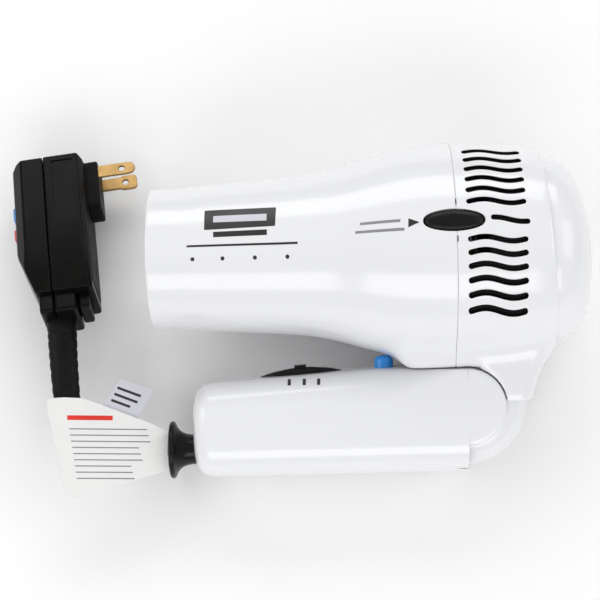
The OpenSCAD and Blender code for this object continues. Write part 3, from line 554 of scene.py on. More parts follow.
def lens_loop(e, n=46, r=33.9, c=29.2, x0=134.0, xa=121.0, xb=147.0):
    """Outline of the almond cut-out, grown by e, with a point exactly on the seam."""
    R = r + e
    top, lo_, hi_ = [], xa - e * 1.6, xb + e * 1.6
    ts = sorted(set([round(lo_ + (hi_ - lo_) * (0.5 - 0.5 * math.cos(math.pi * i / n)), 4) for i in range(n + 1)] + [135.0]))
    ts = [t for t in ts if t == 135.0 or abs(t - 135.0) > 0.3]
    for t in ts:
        h = math.sqrt(max(0.0, R * R - (t - x0) ** 2)) - c
        u = (t - (lo_ + hi_) / 2) / ((hi_ - lo_) / 2)
        top.append((t, max(0.0, h) * min(1.0, math.sqrt(max(0.0, 1 - abs(u) ** 14)) )))
    return [p for p in top] + [(x, -v) for x, v in top[::-1] if v > 1e-6]


def slot_loop(x0, x1, v0, e, n=26, w=1.2, shift=0.0):
    c = [(x0 + w + (x1 - x0 - 2 * w) * i / n) for i in range(n + 1)]
    pts = [(x, v0 + 1.0 * math.sin(2 * math.pi * (x - 141 - shift) / 24.5)) for x in c]
    up, dn = [], []
    for i, (x, v) in enumerate(pts):
        s = 1.0 * 2 * math.pi / 24.5 * math.cos(2 * math.pi * (x - 141 - shift) / 24.5)
        l = math.hypot(1, s)
        up.append((x - s / l * (w + e), v + (w + e) / l))
        dn.append((x + s / l * (w + e), v - (w + e) / l))
    def cap(i, a0):
        x, v = pts[i]
        s = math.atan(1.0 * 2 * math.pi / 24.5 * math.cos(2 * math.pi * (x - 141 - shift) / 24.5))
        return [(x + (w + e) * math.cos(a0 + s - math.pi * k / 7), v + (w + e) * math.sin(a0 + s - math.pi * k / 7)) for k in range(1, 7)]
    return up + cap(n, math.pi / 2) + dn[::-1] + cap(0, -math.pi / 2)


def to_a(x, v, far):
    r = R_of(x)
    a = math.acos(max(-1, min(1, v / r))) - rad(17)
    return 2 * math.pi - a if far else a


GRV = march(GX, GA, sdf_housing)
# the far half of the shell ends on the tilted joint plane
XG = GX.copy()
for _ in range(3):
    end = 178 - GRV * np.cos(GA) * math.tan(rad(3.5)) - 0.12
    XG = np.where(GX > 168, 168 + (GX - 168) * (end - 168) / 10.0, GX)
    GRV = march(XG, GA, sdf_housing)
edge = np.clip((GX - 177.2) / 0.8, 0, 1)
GRV = GRV - 0.35 * edge ** 2


def r_in(x, r):
    return np.where(x < 16, 30.2, np.minimum(r - 2.2, r - 2.2))


verts_xa = [(XG[i, j], GA[i, j], GRV[i, j], 0.0) for i in range(NX) for j in range(NA)]   # x, angle, radius, depth along -w
gid = lambda i, j: i * NA + (j % NA)
quads, skip = [], set()
windows = []
ia = int(np.searchsorted(XS, 117.5)); ib = int(np.searchsorted(XS, 170.0))
LEVELS = [(0.55, 0.0), (0.22, 0.05), (0.05, 0.22), (0.0, 0.5)]
for far in (False, True):
    if far:
        ja, jb = int(np.searchsorted(AS, rad(360 - 73 - 66))), int(np.searchsorted(AS, rad(360 - 73 + 66)))
        xa_i = int(np.searchsorted(XS, 137.0))
    else:
        ja, jb = int(np.searchsorted(AS, rad(73 - 66))), int(np.searchsorted(AS, rad(73 + 66)))
        xa_i = ia
    windows.append((xa_i, ib, ja, jb, far))
for (i0, i1, j0, j1, far) in windows:
    for i in range(i0, i1):
        for j in range(j0, j1):
            skip.add((i, j))
for i in range(NX - 1):
    for j in range(NA):
        if (i, j) not in skip:
            quads.append((gid(i, j), gid(i, j + 1), gid(i + 1, j + 1), gid(i + 1, j)))
hole_tests = []
for (i0, i1, j0, j1, far) in windows:
    loops = [[slot_loop(150, 167.2, 0, e, shift=4.6) for e, _ in LEVELS]]
    for k in range(6):
        for s in (-1, 1):
            loops.append([slot_loop(139.6, 166, s * (8.6 + 5.65 * k), e) for e, _ in LEVELS])
    if not far:
        loops.append([lens_loop(0.35 + e) for e, _ in LEVELS])
    pts, ids, edges = [], [], []

    def put(x, a, vid):
        pts.append((x, a * S0))
        ids.append(vid)
        return len(pts) - 1

    own = {}
    holes, margins, seam_pts = [], [], []
    for li, lv in enumerate(loops):
        for level, ((e, dep), loop) in enumerate(zip(LEVELS, lv)):
            base = len(pts)
            poly = []
            for (x, vv) in loop:
                a = to_a(x, vv, far)
                vid = len(verts_xa)
                verts_xa.append((x, a, None, dep))
                put(x, a, vid)
                poly.append((x, a * S0))
                if x == 135.0:
                    seam_pts.append((a * S0, len(pts) - 1))
            n = len(loop)
            edges += [(base + q, base + (q + 1) % n) for q in range(n)]
            if level == 0:
                margins.append(np.array(poly))
            if level == len(LEVELS) - 1:
                holes.append(np.array(poly))
    # grid points clear of every hole's rim
    gp, gi = [], []
    for i in range(i0, i1 + 1):
        for j in range(j0, j1 + 1):
            gp.append((XS[i], AS[j % NA] * S0))
            gi.append((i, j))
    gp = np.array(gp)
    keep = np.ones(len(gp), bool)
    for m in margins:
        lo_, hi_ = m.min(0) - 0.6, m.max(0) + 0.6
        near = ((gp > lo_) & (gp < hi_)).all(1)
        idx = np.nonzero(near)[0]
        if len(idx):
            d = sd_poly(gp[idx, 0], gp[idx, 1], [tuple(q) for q in m])
            keep[idx[d < 0.35]] = False
    for q, (i, j) in enumerate(gi):
        if keep[q]:
            own[(i, j)] = put(XS[i], AS[j % NA], gid(i, j))
    for i in range(i0, i1):
        edges += [(own[(i, j0)], own[(i + 1, j0)]), (own[(i, j1)], own[(i + 1, j1)])]
    for j in range(j0, j1):
        edges += [(own[(i0, j)], own[(i0, j + 1)]), (own[(i1, j)], own[(i1, j + 1)])]
    if not far:
        iseam = int(np.argmin(np.abs(XS - 135.0)))
        col = sorted([(AS[j] * S0, own[(iseam, j)]) for j in range(j0, j1 + 1) if (iseam, j) in own] + seam_pts)
        hs = [h for h in holes if h[:, 0].min() < 135 < h[:, 0].max()][0]
        for (s1, p1), (s2, p2) in zip(col, col[1:]):
            if sd_poly(np.array([135.0]), np.array([(s1 + s2) / 2]), [tuple(q) for q in hs])[0] > 0:
                edges.append((p1, p2))
    res = delaunay_2d_cdt([Vector(p) for p in pts], edges, [], 0, 1e-6, True)
    rv, rf, ov = res[0], res[2], res[3]
    vid_of = []
    for q, p in enumerate(rv):
        if ov[q]:
            vid_of.append(ids[ov[q][0]])
        else:
            vid_of.append(len(verts_xa))
            verts_xa.append((p[0], p[1] / S0, None, 0.0))
    cen = np.array([[sum(rv[k][0] for k in t) / len(t), sum(rv[k][1] for k in t) / len(t)] for t in rf])
    inside = np.zeros(len(cen), bool)
    for h in holes:
        lo_, hi_ = h.min(0), h.max(0)
        idx = np.nonzero(((cen > lo_) & (cen < hi_)).all(1))[0]
        if len(idx):
            inside[idx[sd_poly(cen[idx, 0], cen[idx, 1], [tuple(q) for q in h]) < 0]] = True
    for q, t in enumerate(rf):
        if not inside[q]:
            t = [vid_of[k] for k in t]
            quads.append(tuple(t[::-1]))
XA = np.array([[p[0], p[1]] for p in verts_xa], float)
RR = np.array([np.nan if p[2] is None else p[2] for p in verts_xa])
DEP = np.array([p[3] for p in verts_xa])
need = np.isnan(RR)
RR[need] = march(XA[need, 0], XA[need, 1], sdf_housing)
OUT = np.stack([XA[:, 0], RR * np.cos(XA[:, 1]), RR * np.sin(XA[:, 1])], 1)
wdir = np.where((XA[:, 1] > math.pi)[:, None], WB * [1, 1, -1], WB)
rin = r_in(XA[:, 0], RR)
INN = np.stack([XA[:, 0], rin * np.cos(XA[:, 1]), rin * np.sin(XA[:, 1])], 1)
is_loop = need
hole_rim = is_loop & (DEP == LEVELS[-1][1])
INN[hole_rim] = OUT[hole_rim] - wdir[hole_rim] * 0.75
OUT = OUT - wdir * DEP[:, None]
cx = np.array([np.mean(XA[list(q), 0]) for q in quads])


def shell_piece(name, mask, seam_shift, body, **kw):
    fs = [quads[i] for i in np.nonzero(mask)[0]]
    used = sorted({k for q in fs for k in q})
    new = {k: i for i, k in enumerate(used)}
    n = len(used)
    o3, i3 = OUT[used].copy(), INN[used].copy()
    sx = np.abs(XA[used, 0] - 135.0) < 1e-6
    for arr, dr in ((o3, 0.3), (i3, 0.0)):
        arr[sx, 0] += seam_shift
        rr = np.hypot(arr[sx, 1], arr[sx, 2])
        arr[sx, 1] *= (rr - dr) / rr
        arr[sx, 2] *= (rr - dr) / rr
    F = [tuple(new[k] for k in q) for q in fs]
    count = {}
    for q in F:
        for a, b in zip(q, q[1:] + q[:1]):
            count[(a, b)] = 1
    rim = [(a, b) for (a, b) in count if (b, a) not in count]
    faces = F + [tuple(k + n for k in q[::-1]) for q in F] + [(b, a, a + n, b + n) for a, b in rim]
    o = piece(name, np.concatenate([o3, i3]), faces, "white", body, ML, 38, fix=True, **kw)
    # the slots' walls and the shell's inside behind them lie in shade; they get the near-black screen material as
    # painted shade
    o.data.materials.append(M["mesh"])
    back = ML.inverted()
    for p in o.data.polygons:
        if p.index >= len(F) and 138.5 < (back @ p.center).x < 169.5:
            p.material_index = 1
    return o


front = shell_piece("barrel_front", cx < 135, -0.05, "housing", rep=("front_housing",), slot="gloss_white")
rear = shell_piece("barrel_rear", cx > 135, 0.05, "housing", rep=("rear_housing",), slot="gloss_white")

# fixed hinge drum, its rim rounded to carry on the handle's form
prof = [(0, 14.25), (16.5, 14.25), (18.4, 14.1), (20.2, 13.5), (22, 12.6), (24, 11.1), (25.8, 9.2), (27.3, 6.8), (28.3, 4.2), (28.85, 2), (29, 0)]
prof = prof + [(r, -z) for r, z in prof[-2::-1]]
v, f = lathe(prof, 128, "z", (PX, PY, 0))
piece("hinge_drum", v, f, "white", "housing", ML, 30, slot="gloss_white")

# rear cap
capm = ML @ Matrix.Translation((178, 0, 0)) @ Matrix.Rotation(rad(3.5), 4, "Z")
cp = [(41, -0.8), (43.2, -0.8), (43.75, -0.3), (43.85, 0.4), (43.6, 2.2), (43.1, 4.2), (42.2, 6.6), (40.8, 9.1), (38.9, 11.6), (36.4, 13.8), (33.4, 15.5), (30, 16.8),
      (26.6, 17.6), (24.6, 17.95), (24.1, 17.75), (23.8, 17.3), (22.6, 17.4), (22.2, 17.9), (21.8, 18.55), (21.2, 18.85), (16, 19.35), (10, 19.7), (4, 19.95), (0, 20),
      (0, 17.8), (10, 17.5), (20, 16.4), (27.4, 15.1), (33, 12.8), (37.6, 9.2), (39.8, 5), (41, 0)]
v, f = lathe(cp, 160, "x")
cap = piece("rear_dome", v, f, "white", "housing", capm, 32, rep=("rear_cap",), slot="gloss_white")

# printed marks on the barrel, laid out as (x, distance round the barrel); plain shapes stand in for the print
BR = 33.0


def barrel_marks(name, outlines, mat, slot_, lift=0.05, turn=0.0):
    at = lambda x, u, h: (x, float(R_of(x) + h) * math.cos(u / BR), float(R_of(x) + h) * math.sin(u / BR))
    v, f = joined([sheet(o, 1.5, lambda x, u: at(x, u, lift), lambda x, u: at(x, u, lift - 0.25)) for o in outlines])
    return piece(name, v, f, mat, "housing", ML, 40, slot=slot_)


arc = lambda deg: rad(deg) * BR
PLATE = [(23.5, arc(50.0)), (55.8, arc(51.8)), (55.3, arc(67.0)), (23.4, arc(67.2))]
barrel_marks("badge_plate", [rounded(PLATE, 0.5, 3)], "ink", "gloss_black", 0.06)
barrel_marks("badge_bar", [strip((27.5, arc(58.6)), (51.5, arc(59.6)), 3.2)], "sticker", "label_grey", 0.10)
barrel_marks("print_bars", [strip((27.5, arc(71.2)), (51.6, arc(71.4)), 2.4), strip((15.5, arc(79.4)), (65.2, arc(80.2)), 0.9)]
             + [[(x + 0.9 * math.cos(k * math.pi / 6), arc(89.5) + 0.9 * math.sin(k * math.pi / 6)) for k in range(12)] for x in (18, 31.5, 46, 60.5)],
             "ink", "gloss_black")
barrel_marks("seam_ticks", [strip((135.0, arc(73 - 8.2)), (135.0, arc(73 - 11.2)), 0.4), strip((135.3, arc(73 + 8.2)), (135.3, arc(73 + 11.2)), 0.4)], "ink", "gloss_black", 0.08)
barrel_marks("retract_arrow", [[(114.1, arc(71.2)), (118.9, arc(73.6)), (113.9, arc(76.0))]], "ink", "gloss_black")
barrel_marks("retract_bars", [strip((93.0, arc(71.6)), (110.6, arc(72.0)), 0.9), strip((90.8, arc(76.4)), (112.2, arc(76.8)), 0.9)], "ink_grey", "label_grey")

# ------------------------------------------------------------------ handle


def sdf_handle(x, y, z):
    top = np.where(x < 98, -53 - 4.5 / 73 * (98 - x), -53.0)
    bot = -101.3
    yc, hy = 0.5 * (top + bot), 0.5 * (top - bot)
    # the top corner tightens towards the hinge, where the round cheek stands flush
    rt = 15 - 13.6 * np.clip((x - 102) / 32, 0, 1) ** 1.2
    r = np.where(y > yc, rt, 15.0)
    qx, qz = np.abs(y - yc) - hy + r, np.abs(z) - 22 + r
    sec = np.minimum(np.maximum(qx, qz), 0) + np.hypot(np.maximum(qx, 0), np.maximum(qz, 0)) - r
    bow = 1.3 * ((y + 79) / 22) ** 2 + 1.2 * (z / 22) ** 2
    body = smax(sec, 13.6 + bow - x, 9.0)
    body = smax(body, x - 140.4, 0.5)
    body = smax(body, (x - y * 1.0 - (140.4 + 101.3 - 0.9)) * 0.7071, 0.4)
    disc = smax(np.hypot(x - PX, y - PY) - cheek, np.abs(z) - 22, 1.6)
    return np.minimum(body, disc)


cheek = 17.5
HX = np.array(steps((13.62, 14.4, 0.12), (14.4, 18, 0.4), (18, 30, 1.0), (30, 110, 2.0), (110, 138, 1.0), (138, 139.6, 0.4), (139.6, 140.3, 0.1), (140.3, 140.5, 0.05),
                    (140.5, 152, 0.8), (152, 156, 0.4), (156, 157.3, 0.13)))


def handle_half(name, side, node_name, slot_):
    """Half of the handle, on z > 0 or z < 0, as a ring of rays from a line along it."""
    na = 72
    cy = np.where(HX < 140.4, -77.0, PY)
    v, rings = [], []
    for x, c in zip(HX, cy):
        if x >= 140.3:
            c = PY - 0.0
        a = np.linspace(0, math.pi, na + 1)
        aa = a
        r = march(np.full(aa.shape, x), aa, sdf_handle, 0.05, 60, 0.6, c)
        yy, zz = c + r * np.cos(aa), r * np.sin(aa)
        ring = []
        for k in range(na + 1):
            z = max(zz[k], 0.06)
            ring.append(len(v))
            v.append((x, yy[k], side * z))
        rings.append(ring)
    f = []
    for i in range(len(rings) - 1):
        for k in range(na):
            f.append((rings[i][k], rings[i][k + 1], rings[i + 1][k + 1], rings[i + 1][k]))
    f.append(tuple(rings[0]))
    f.append(tuple(rings[-1][::-1]))
    for i in range(len(rings) - 1):
        f.append((rings[i][0], rings[i][-1], rings[i + 1][-1], rings[i + 1][0]))
    return piece(name, v, f, "white", "handle", ML, 40, rep=(node_name,), slot=slot_)


for name, side, nn in (("handle_near", 1, "handle_left"), ("handle_far", -1, "handle_right")):
    h = handle_half(name, side, nn, "gloss_white")
    cv, cf = lathe([(0, -14.7), (29.2, -14.7), (29.2, 14.7), (0, 14.7)], 160, "z", (PX, PY, 0))
    c1 = cutter(cv, cf)
    cv, cf = lathe([(0, -62), (4.72, -62), (4.72, -40), (0, -40)], 64, "y", (102.7, 0, 0))
    c2 = cutter(cv, cf)
    cv, cf = lathe([(0, 6), (7.2, 6), (7.2, 15.5), (0, 15.5)], 64, "x", (0, -89.3, 0))
    c3 = cutter(cv, cf)
    cs = [c1, c2, c3]
    if side < 0:
        for q in ((30, -95.4), (112, -95.4), (38, -66)):
            cv, cf = lathe([(0, -24), (2.9, -24), (2.9, -14.4), (0, -14.4)], 40, "z", (q[0], q[1], 0))
            cs.append(cutter(cv, cf))
    boolean(h, cs)
    h.data.shade_smooth()
    h.data.set_sharp_from_angle(angle=rad(38))
    h.data.materials.clear()
    h.data.materials.append(M["white"])
    wn = h.modifiers.new("wn", "WEIGHTED_NORMAL")
    wn.keep_sharp = True

# three short marks beside the switch
def on_handle(x, y, h):
    lo, hi = 4.0, 26.0
    for _ in range(30):
        m = 0.5 * (lo + hi)
        if sdf_handle(np.array([x]), np.array([y]), np.array([m]))[0] > 0:
            hi = m
        else:
            lo = m
    return (x, y, lo + h)


v, f = joined([sheet(strip((x, -58.9), (x + 0.05, -56.3), 1.5), 0.7, lambda x, y: on_handle(x, y, 0.05), lambda x, y: on_handle(x, y, -0.2)) for x in (58.9, 65.8, 72.4)])
piece("switch_marks", v, f, "ink", "handle", ML, 40, slot="gloss_black")

# cord guide trumpet
gp = [(3.55, 2.2), (4.0, 1.75), (8, 1.7), (11.4, 1.75), (12.5, 1.95), (13.1, 2.35), (13.4, 2.95), (13.35, 3.6), (13.0, 4.15), (12.2, 4.6), (10.6, 5.3), (9.2, 6.4),
      (8.1, 7.9), (7.4, 9.8), (7.0, 12), (6.9, 15.2), (8.5, 15.6), (8.5, 17.2), (6, 17.3), (3.55, 17.3), (3.55, 12), (3.6, 9), (4.4, 5.4)]
gs = []
v, f = lathe(gp, 96, "x", (0, -89.3, 0))
guide = piece("cord_trumpet", v, f, "black", "handle", ML, 40, rep=("cord_guide",), slot="gloss_black")
v, f = lathe([(0, 7.2), (1.1, 7.25), (1.45, 7.6), (1.5, 8.6), (0, 8.6)], 32, "z", (8.9, -89.3, 0))
piece("trumpet_pip", v, f, "black", "handle", ML, 30, slot="gloss_black")

# cool-shot button
cb = [(0, -47.45), (1.5, -47.5), (2.7, -47.75), (3.6, -48.3), (4.2, -49.1), (4.4, -50.1), (4.4, -56.8), (6.1, -56.8), (6.1, -58.0), (0, -58.4)]
v, f = lathe(cb, 72, "y", (102.7, 0, 0))
piece("cool_peg", v, f, "blue", "cool_button", ML, 34, rep=("cool_button",), slot="button_blue")

# switch bezel: a low domed almond with a slot, and the slider in it
nu, nv = 56, 12
bv, bf, top = [], [], []


def lens_half(u):
    return max(0.0, math.sqrt(max(0.0, 39.4 ** 2 - u * u)) - 34.4)


for i in range(nu + 1):
    u = -19.15 * math.cos(math.pi * i / nu)
    row = []
    hw = max(lens_half(u), 0.02)
    for k in range(nv + 1):
        s = -1 + 2 * k / nv
        z = hw * math.sin(s * math.pi / 2)
        q = abs(math.sin(s * math.pi / 2))
        h = 3.0 * (1 - (u / 19.2) ** 2) ** 0.9 * (1 - q ** 3) ** 0.55 + 0.18
        row.append(len(bv))
        bv.append((u, h - 0.15, z))
    top.append(row)
low = []
for row in top:
    r2 = []
    for k in row:
        u, h, z = bv[k]
        r2.append(len(bv))
        bv.append((u * 0.99, -1.2, z * 0.95))
    low.append(r2)
for i in range(nu):
    for k in range(nv):
        bf.append((top[i][k], top[i][k + 1], top[i + 1][k + 1], top[i + 1][k]))
        bf.append((low[i][k], low[i + 1][k], low[i + 1][k + 1], low[i][k + 1]))
    for k in (0, nv):
        bf.append((top[i][k], top[i + 1][k], low[i + 1][k], low[i][k]))
for i in (0, nu):
    for k in range(nv):
        bf.append((top[i][k], low[i][k], low[i][k + 1], top[i][k + 1]))
bezel = piece("switch_surround", bv, bf, "black", "handle", MS, 30, rep=("switch_bezel",), slot="gloss_black")
cv, cf = boxv((-9.9, 0.9, -2.6), (9.9, 8, 2.6))
boolean(bezel, [cutter(cv, cf, MS)])
bezel.data.shade_smooth()
bezel.data.set_sharp_from_angle(angle=rad(30))
v, f = boxv((-2.75, 0.2, -2.2), (2.75, 4.2, 2.2))
nub = piece("switch_nub", v, f, "black", "switch_slider", MS, 30, rep=("switch_slider",), slot="gloss_black")
for q in (-1.7, -0.6, 0.6, 1.7):
    cv, cf = boxv((q - 0.18, 3.95, -3), (q + 0.18, 5, 3))
    boolean(nub, [cutter(cv, cf, MS)])
bevel(nub, 0.8, 3)

# retract button: an almond dome with a soft lip
bv, bf, rings = [], [], []
base_loop = lens_loop(-0.05, 64)
nb_, nr = len(base_loop), 16
for q in range(nr + 1):
    s = 1 - q / nr
    ring = []
    for (x, vv) in base_loop:
        xx, v2 = 134 + (x - 134) * s, vv * s
        e = max(0.0, s) ** 8
        w = math.sqrt(max(0.0, (R_of(xx)) ** 2 - v2 * v2)) + 0.75 * (1 - s ** 2.2) ** 0.9 + 0.25 - 0.75 * e
        w -= 0.28 * math.exp(-((xx - 134) ** 2 + v2 ** 2) / 3.4)
        ring.append(len(bv))
        bv.append((xx, v2, float(w)))
    rings.append(ring)
skirt = []
for (x, vv) in base_loop:
    skirt.append(len(bv))
    bv.append((x, vv, float(math.sqrt(R_of(x) ** 2 - vv * vv)) - 3.2))
for q in range(nr - 1):
    for k in range(nb_):
        bf.append((rings[q][k], rings[q][(k + 1) % nb_], rings[q + 1][(k + 1) % nb_], rings[q + 1][k]))
cen_i = rings[nr][0]
for k in range(nb_):
    bf.append((rings[nr - 1][k], rings[nr - 1][(k + 1) % nb_], cen_i))
    bf.append((rings[0][k], skirt[k], skirt[(k + 1) % nb_], rings[0][(k + 1) % nb_]))
bf.append(tuple(skirt))
used = sorted({k for q in bf for k in q})
new = {k: i for i, k in enumerate(used)}
rb = piece("retract_pad", [bv[k] for k in used], [tuple(new[k] for k in q) for q in bf], "button", "retract_button", MB, 60, rep=("retract_button",), slot="gloss_black")

# woven screen behind the vents
wv, we = [], []
na_, nx_ = 250, 24
sx = [139 + 27.2 * i / nx_ for i in range(nx_ + 1)]
for x in sx:
    r = float(np.interp(x, [138.4, 141, 150, 160, 166.5], [47, 46.9, 46.6, 45.9, 45.2])) + 0.05
    for k in range(na_):
        a = 2 * math.pi * k / na_
        wv.append((x, r * math.cos(a), r * math.sin(a)))
ok = lambda a: not (150 < math.degrees(a) % 360 < 210) and not (60 < math.degrees(a) % 360 < 94 and False)
wf = []
for i in range(nx_):
    for k in range(na_):
        a = 2 * math.pi * (k + 0.5) / na_
        ad = math.degrees(a)
        if 148 < ad < 212 or (54 < ad < 92 and sx[i] < 149.6):
            continue
        wf.append((i * na_ + k, i * na_ + (k + 1) % na_, (i + 1) * na_ + (k + 1) % na_, (i + 1) * na_ + k))
screen = piece("vent_mesh", wv, wf, "wire", "housing", ML, 40, slot="screen_black", fix=False)
wm = screen.modifiers.new("wire", "WIREFRAME")
wm.thickness, wm.use_even_offset, wm.use_boundary, wm.use_replace = 0.00032, False, True, True
bake(screen)
screen.data.materials.clear()
screen.data.materials.append(M["wire"])

# ------------------------------------------------------------------ plug


def plane2(poly, axes, cx_):
    """Planes of a convex outline given in two of the three axes."""
    out = []
    n = len(poly)
    cen2 = [sum(p[0] for p in poly) / n, sum(p[1] for p in poly) / n]
    for i in range(n):
        a, b = poly[i], poly[(i + 1) % n]
        e = (b[0] - a[0], b[1] - a[1])
        no = (e[1], -e[0])
        if (a[0] - cen2[0]) * no[0] + (a[1] - cen2[1]) * no[1] < 0:
            no = (-no[0], -no[1])
        co3, no3 = [0, 0, 0], [0, 0, 0]
        co3[axes[0]], co3[axes[1]] = a
        no3[axes[0]], no3[axes[1]] = no
        out.append((Vector(co3), Vector(no3).normalized()))
    return out


SIDE = [(2.5, 0), (33, 0), (35, -2), (35, -74), (8, -74), (0.6, -53), (0, -50), (0, -2.5)]
SEC = [(0, -11), (0, 11), (5, 17), (32.5, 17), (35, 13), (35, -13), (32.5, -17), (5, -17)]
TOP = [(0, -17), (0, 17), (-50, 17), (-74, 14.5), (-74, -14.5), (-50, -17)]
base = plane2(SIDE, (0, 1), 0) + plane2(SEC, (0, 2), 0) + plane2(TOP, (1, 2), 0)
v, f = convex(base + [(Vector((16.12, 0, 0)), Vector((-1, 0, 0)))])
pf = piece("plug_body_front", v, f, "plug", "handle", MP, 30, rep=("plug_front",), slot="plug_black")
bevel(pf, 1.0, 4, 20, False)
bake(pf)
cuts = []
for s in (1, -1):
    a, b = sorted((s * 16.35, s * 20))
    pr = [(20.6, -29.4), (29.9, -29.4), (30.5, -28.8), (30.5, -3.6), (29.9, -3), (20.6, -3), (20, -3.6), (20, -28.8)]
    cv, cf = prism(pr, a, b)
    cuts.append(cutter(cv, cf, MP))
boolean(pf, cuts)
pf.data.set_sharp_from_angle(angle=rad(28))
bevel(pf, 0.22, 2, 40)
v, f = convex(base + [(Vector((15.88, 0, 0)), Vector((1, 0, 0)))])
pb = piece("plug_body_back", v, f, "plug", "handle", MP, 30, rep=("plug_back",), slot="plug_black")
bevel(pb, 1.0, 4, 20, False)
bake(pb)
cuts = []
for y0, y1, hz in ((-26.6, -18.4, 4.4), (-37.6, -30.9, 4.4)):
    cv, cf = boxv((-3, y0, -hz), (3.2, y1, hz))
    cuts.append(cutter(cv, cf, MP))
boolean(pb, cuts)
pb.data.set_sharp_from_angle(angle=rad(28))
bevel(pb, 0.22, 2, 40)
# matte front face plate and the raised boss round the blades
bo = [(-27, -5.5), (-26.6, -7.3), (-25.4, -8.3), (-24, -8.5), (-3, -8.5), (-1.6, -8.3), (-0.6, -7.3), (-0.2, -5.5), (-0.2, 5.5), (-0.6, 7.3), (-1.6, 8.3), (-3, 8.5),
      (-24, 8.5), (-25.4, 8.3), (-26.6, 7.3), (-27, 5.5)]
v, f = prism(bo, 34.4, 41.4)
v = [(z, x, y) for x, y, z in v]
boss = piece("plug_boss", v, f, "plug_matte", "handle", MP, 30, slot="plug_black")
bevel(boss, 0.8, 3, 40)
fp = [(-70, -11.4), (-70, 11.4), (-66, 12.2), (-3.4, 12.2), (-2.6, 11.4), (-2.6, -11.4), (-3.4, -12.2), (-66, -12.2)]
v, f = prism(fp, 34.6, 35.25)
v = [(z, x, y) for x, y, z in v]
face = piece("plug_face_plate", v, f, "plug_matte", "handle", MP, 30, slot="plug_black")
bevel(face, 0.25, 2, 40)
# neck and side lobes where the cord goes in
for nm, a, b, w in (("plug_neck_back", (9, -83.6, -11.6), (15.88, -72, 11.6), 1.6), ("plug_neck_front", (16.12, -83.6, -11.6), (26.6, -72, 11.6), 1.6),
                    ("plug_lobe", (27, -81.6, -8.6), (32.2, -72, 8.6), 1.3)):
    v, f = boxv(a, b)
    bevel(piece(nm, v, f, "plug", "handle", MP, 30, slot="plug_black"), w, 4, 40)
for y0, y1, z0, nm, mt, body, sl in ((-26.2, -18.8, 4.0, "test_cap", "blue", "test_button", "button_blue"), (-37.2, -31.3, 4.0, "reset_cap", "red", "reset_button", "button_red")):
    v, f = boxv((-2.0, y0, -z0), (4.2, y1, z0))
    bevel(piece(nm, v, f, mt, body, MP, 30, rep=(nm.split("_")[0] + "_button",), slot=sl), 0.6, 4, 40)

# blades, one with a wider tip
for s, nm in ((-1, "blade_narrow"), (1, "blade_wide")):
    hw = 3.2 if s > 0 else 3.2
    if s < 0:
        ol = [(40, -3.2), (50.5, -3.2), (51.6, -3.95), (57.2, -3.95), (58.3, -3.3), (58.75, -2.2), (58.75, 2.2), (58.3, 3.3), (57.2, 3.95), (51.6, 3.95), (50.5, 3.2), (40, 3.2)]
    else:
        ol = [(40, -3.2), (56.6, -3.2), (58.2, -2.7), (59.2, -1.6), (59.6, -0.5), (59.6, 0.5), (59.2, 1.6), (58.2, 2.7), (56.6, 3.2), (40, 3.2)]
    v, f = prism([(x, y - 6.5) for x, y in ol], s * 6.35 - 0.75, s * 6.35 + 0.75)
    bl = piece(nm, v, f, "brass", "handle", MP, 30, slot="brass", rep=("plug_blades",) if s > 0 else ())
    cv, cf = lathe([(0, s * 6.35 - 2), (1.55, s * 6.35 - 2), (1.55, s * 6.35 + 2), (0, s * 6.35 + 2)], 40, "z", (53, -6.5, 0))
    boolean(bl, [cutter(cv, cf, MP)])
    bl.data.set_sharp_from_angle(angle=rad(30))
    bevel(bl, 0.22, 2, 40)

# ------------------------------------------------------------------ tag and sticker
TAG = [(-57, 21), (-55.2, 22.9), (-48.7, 23.4), (-40.4, 23.1), (-30.8, 19.8), (-18.4, 14.6), (-8.6, 11.5), (-0.4, 7.6), (-0.4, -10.7), (-9.4, -13.5), (-21.3, -17.4),
       (-32.7, -20.9), (-42.2, -23.6), (-45.4, -23.4), (-47.6, -20.6), (-52.8, 2.8)]


def tag_z(x, y):
    """Slight curl of the plastic tag."""
    return 1.6 * max(0.0, (x + y * 0.9 + 22) / 20.0 - 0.6) ** 2 * (1 if y > 5 else 0) + 0.5 * math.sin((x + 57) / 57 * math.pi) ** 2 * (y / 23.0) ** 2


def flat_sheet(name, outline, z0, th, mat, mtx, body, zfun, step=2.0, rep=(), slot_=None):
    v, f = sheet(outline, step, lambda x, y: (x, y, z0 + zfun(x, y) + th), lambda x, y: (x, y, z0 + zfun(x, y)))
    return piece(name, v, f, mat, body, mtx, 40, rep=rep, slot=slot_)


tag = flat_sheet("tag_sheet", rounded(TAG, 2.2), 0.0, 0.45, "tag", MT, "handle", tag_z, 1.6, rep=("warning_tag",), slot_="label_white")
v, f = lathe([(2.42, -112), (2.9, -112), (2.9, -99), (2.42, -99)], 40, "x", (0, -60, 20.6))
piece("tag_wrap", v, f, "tag", "handle", MM, 40, slot="label_white")
v, f = boxv((-110, -60.2, 23.2), (-101, -59.8, 25.9))
piece("tag_web", v, f, "tag", "handle", MM, 40, slot="label_white")
STK = [(-22.7, 33), (-7.1, 27.6), (-14.4, 13.3), (-30.8, 19.8)]
flat_sheet("sticker_sheet", rounded(STK, 0.8), -0.5, 0.35, "sticker", MT, "handle", lambda x, y: 0.0, 2.0, rep=("cord_sticker",), slot_="label_grey")

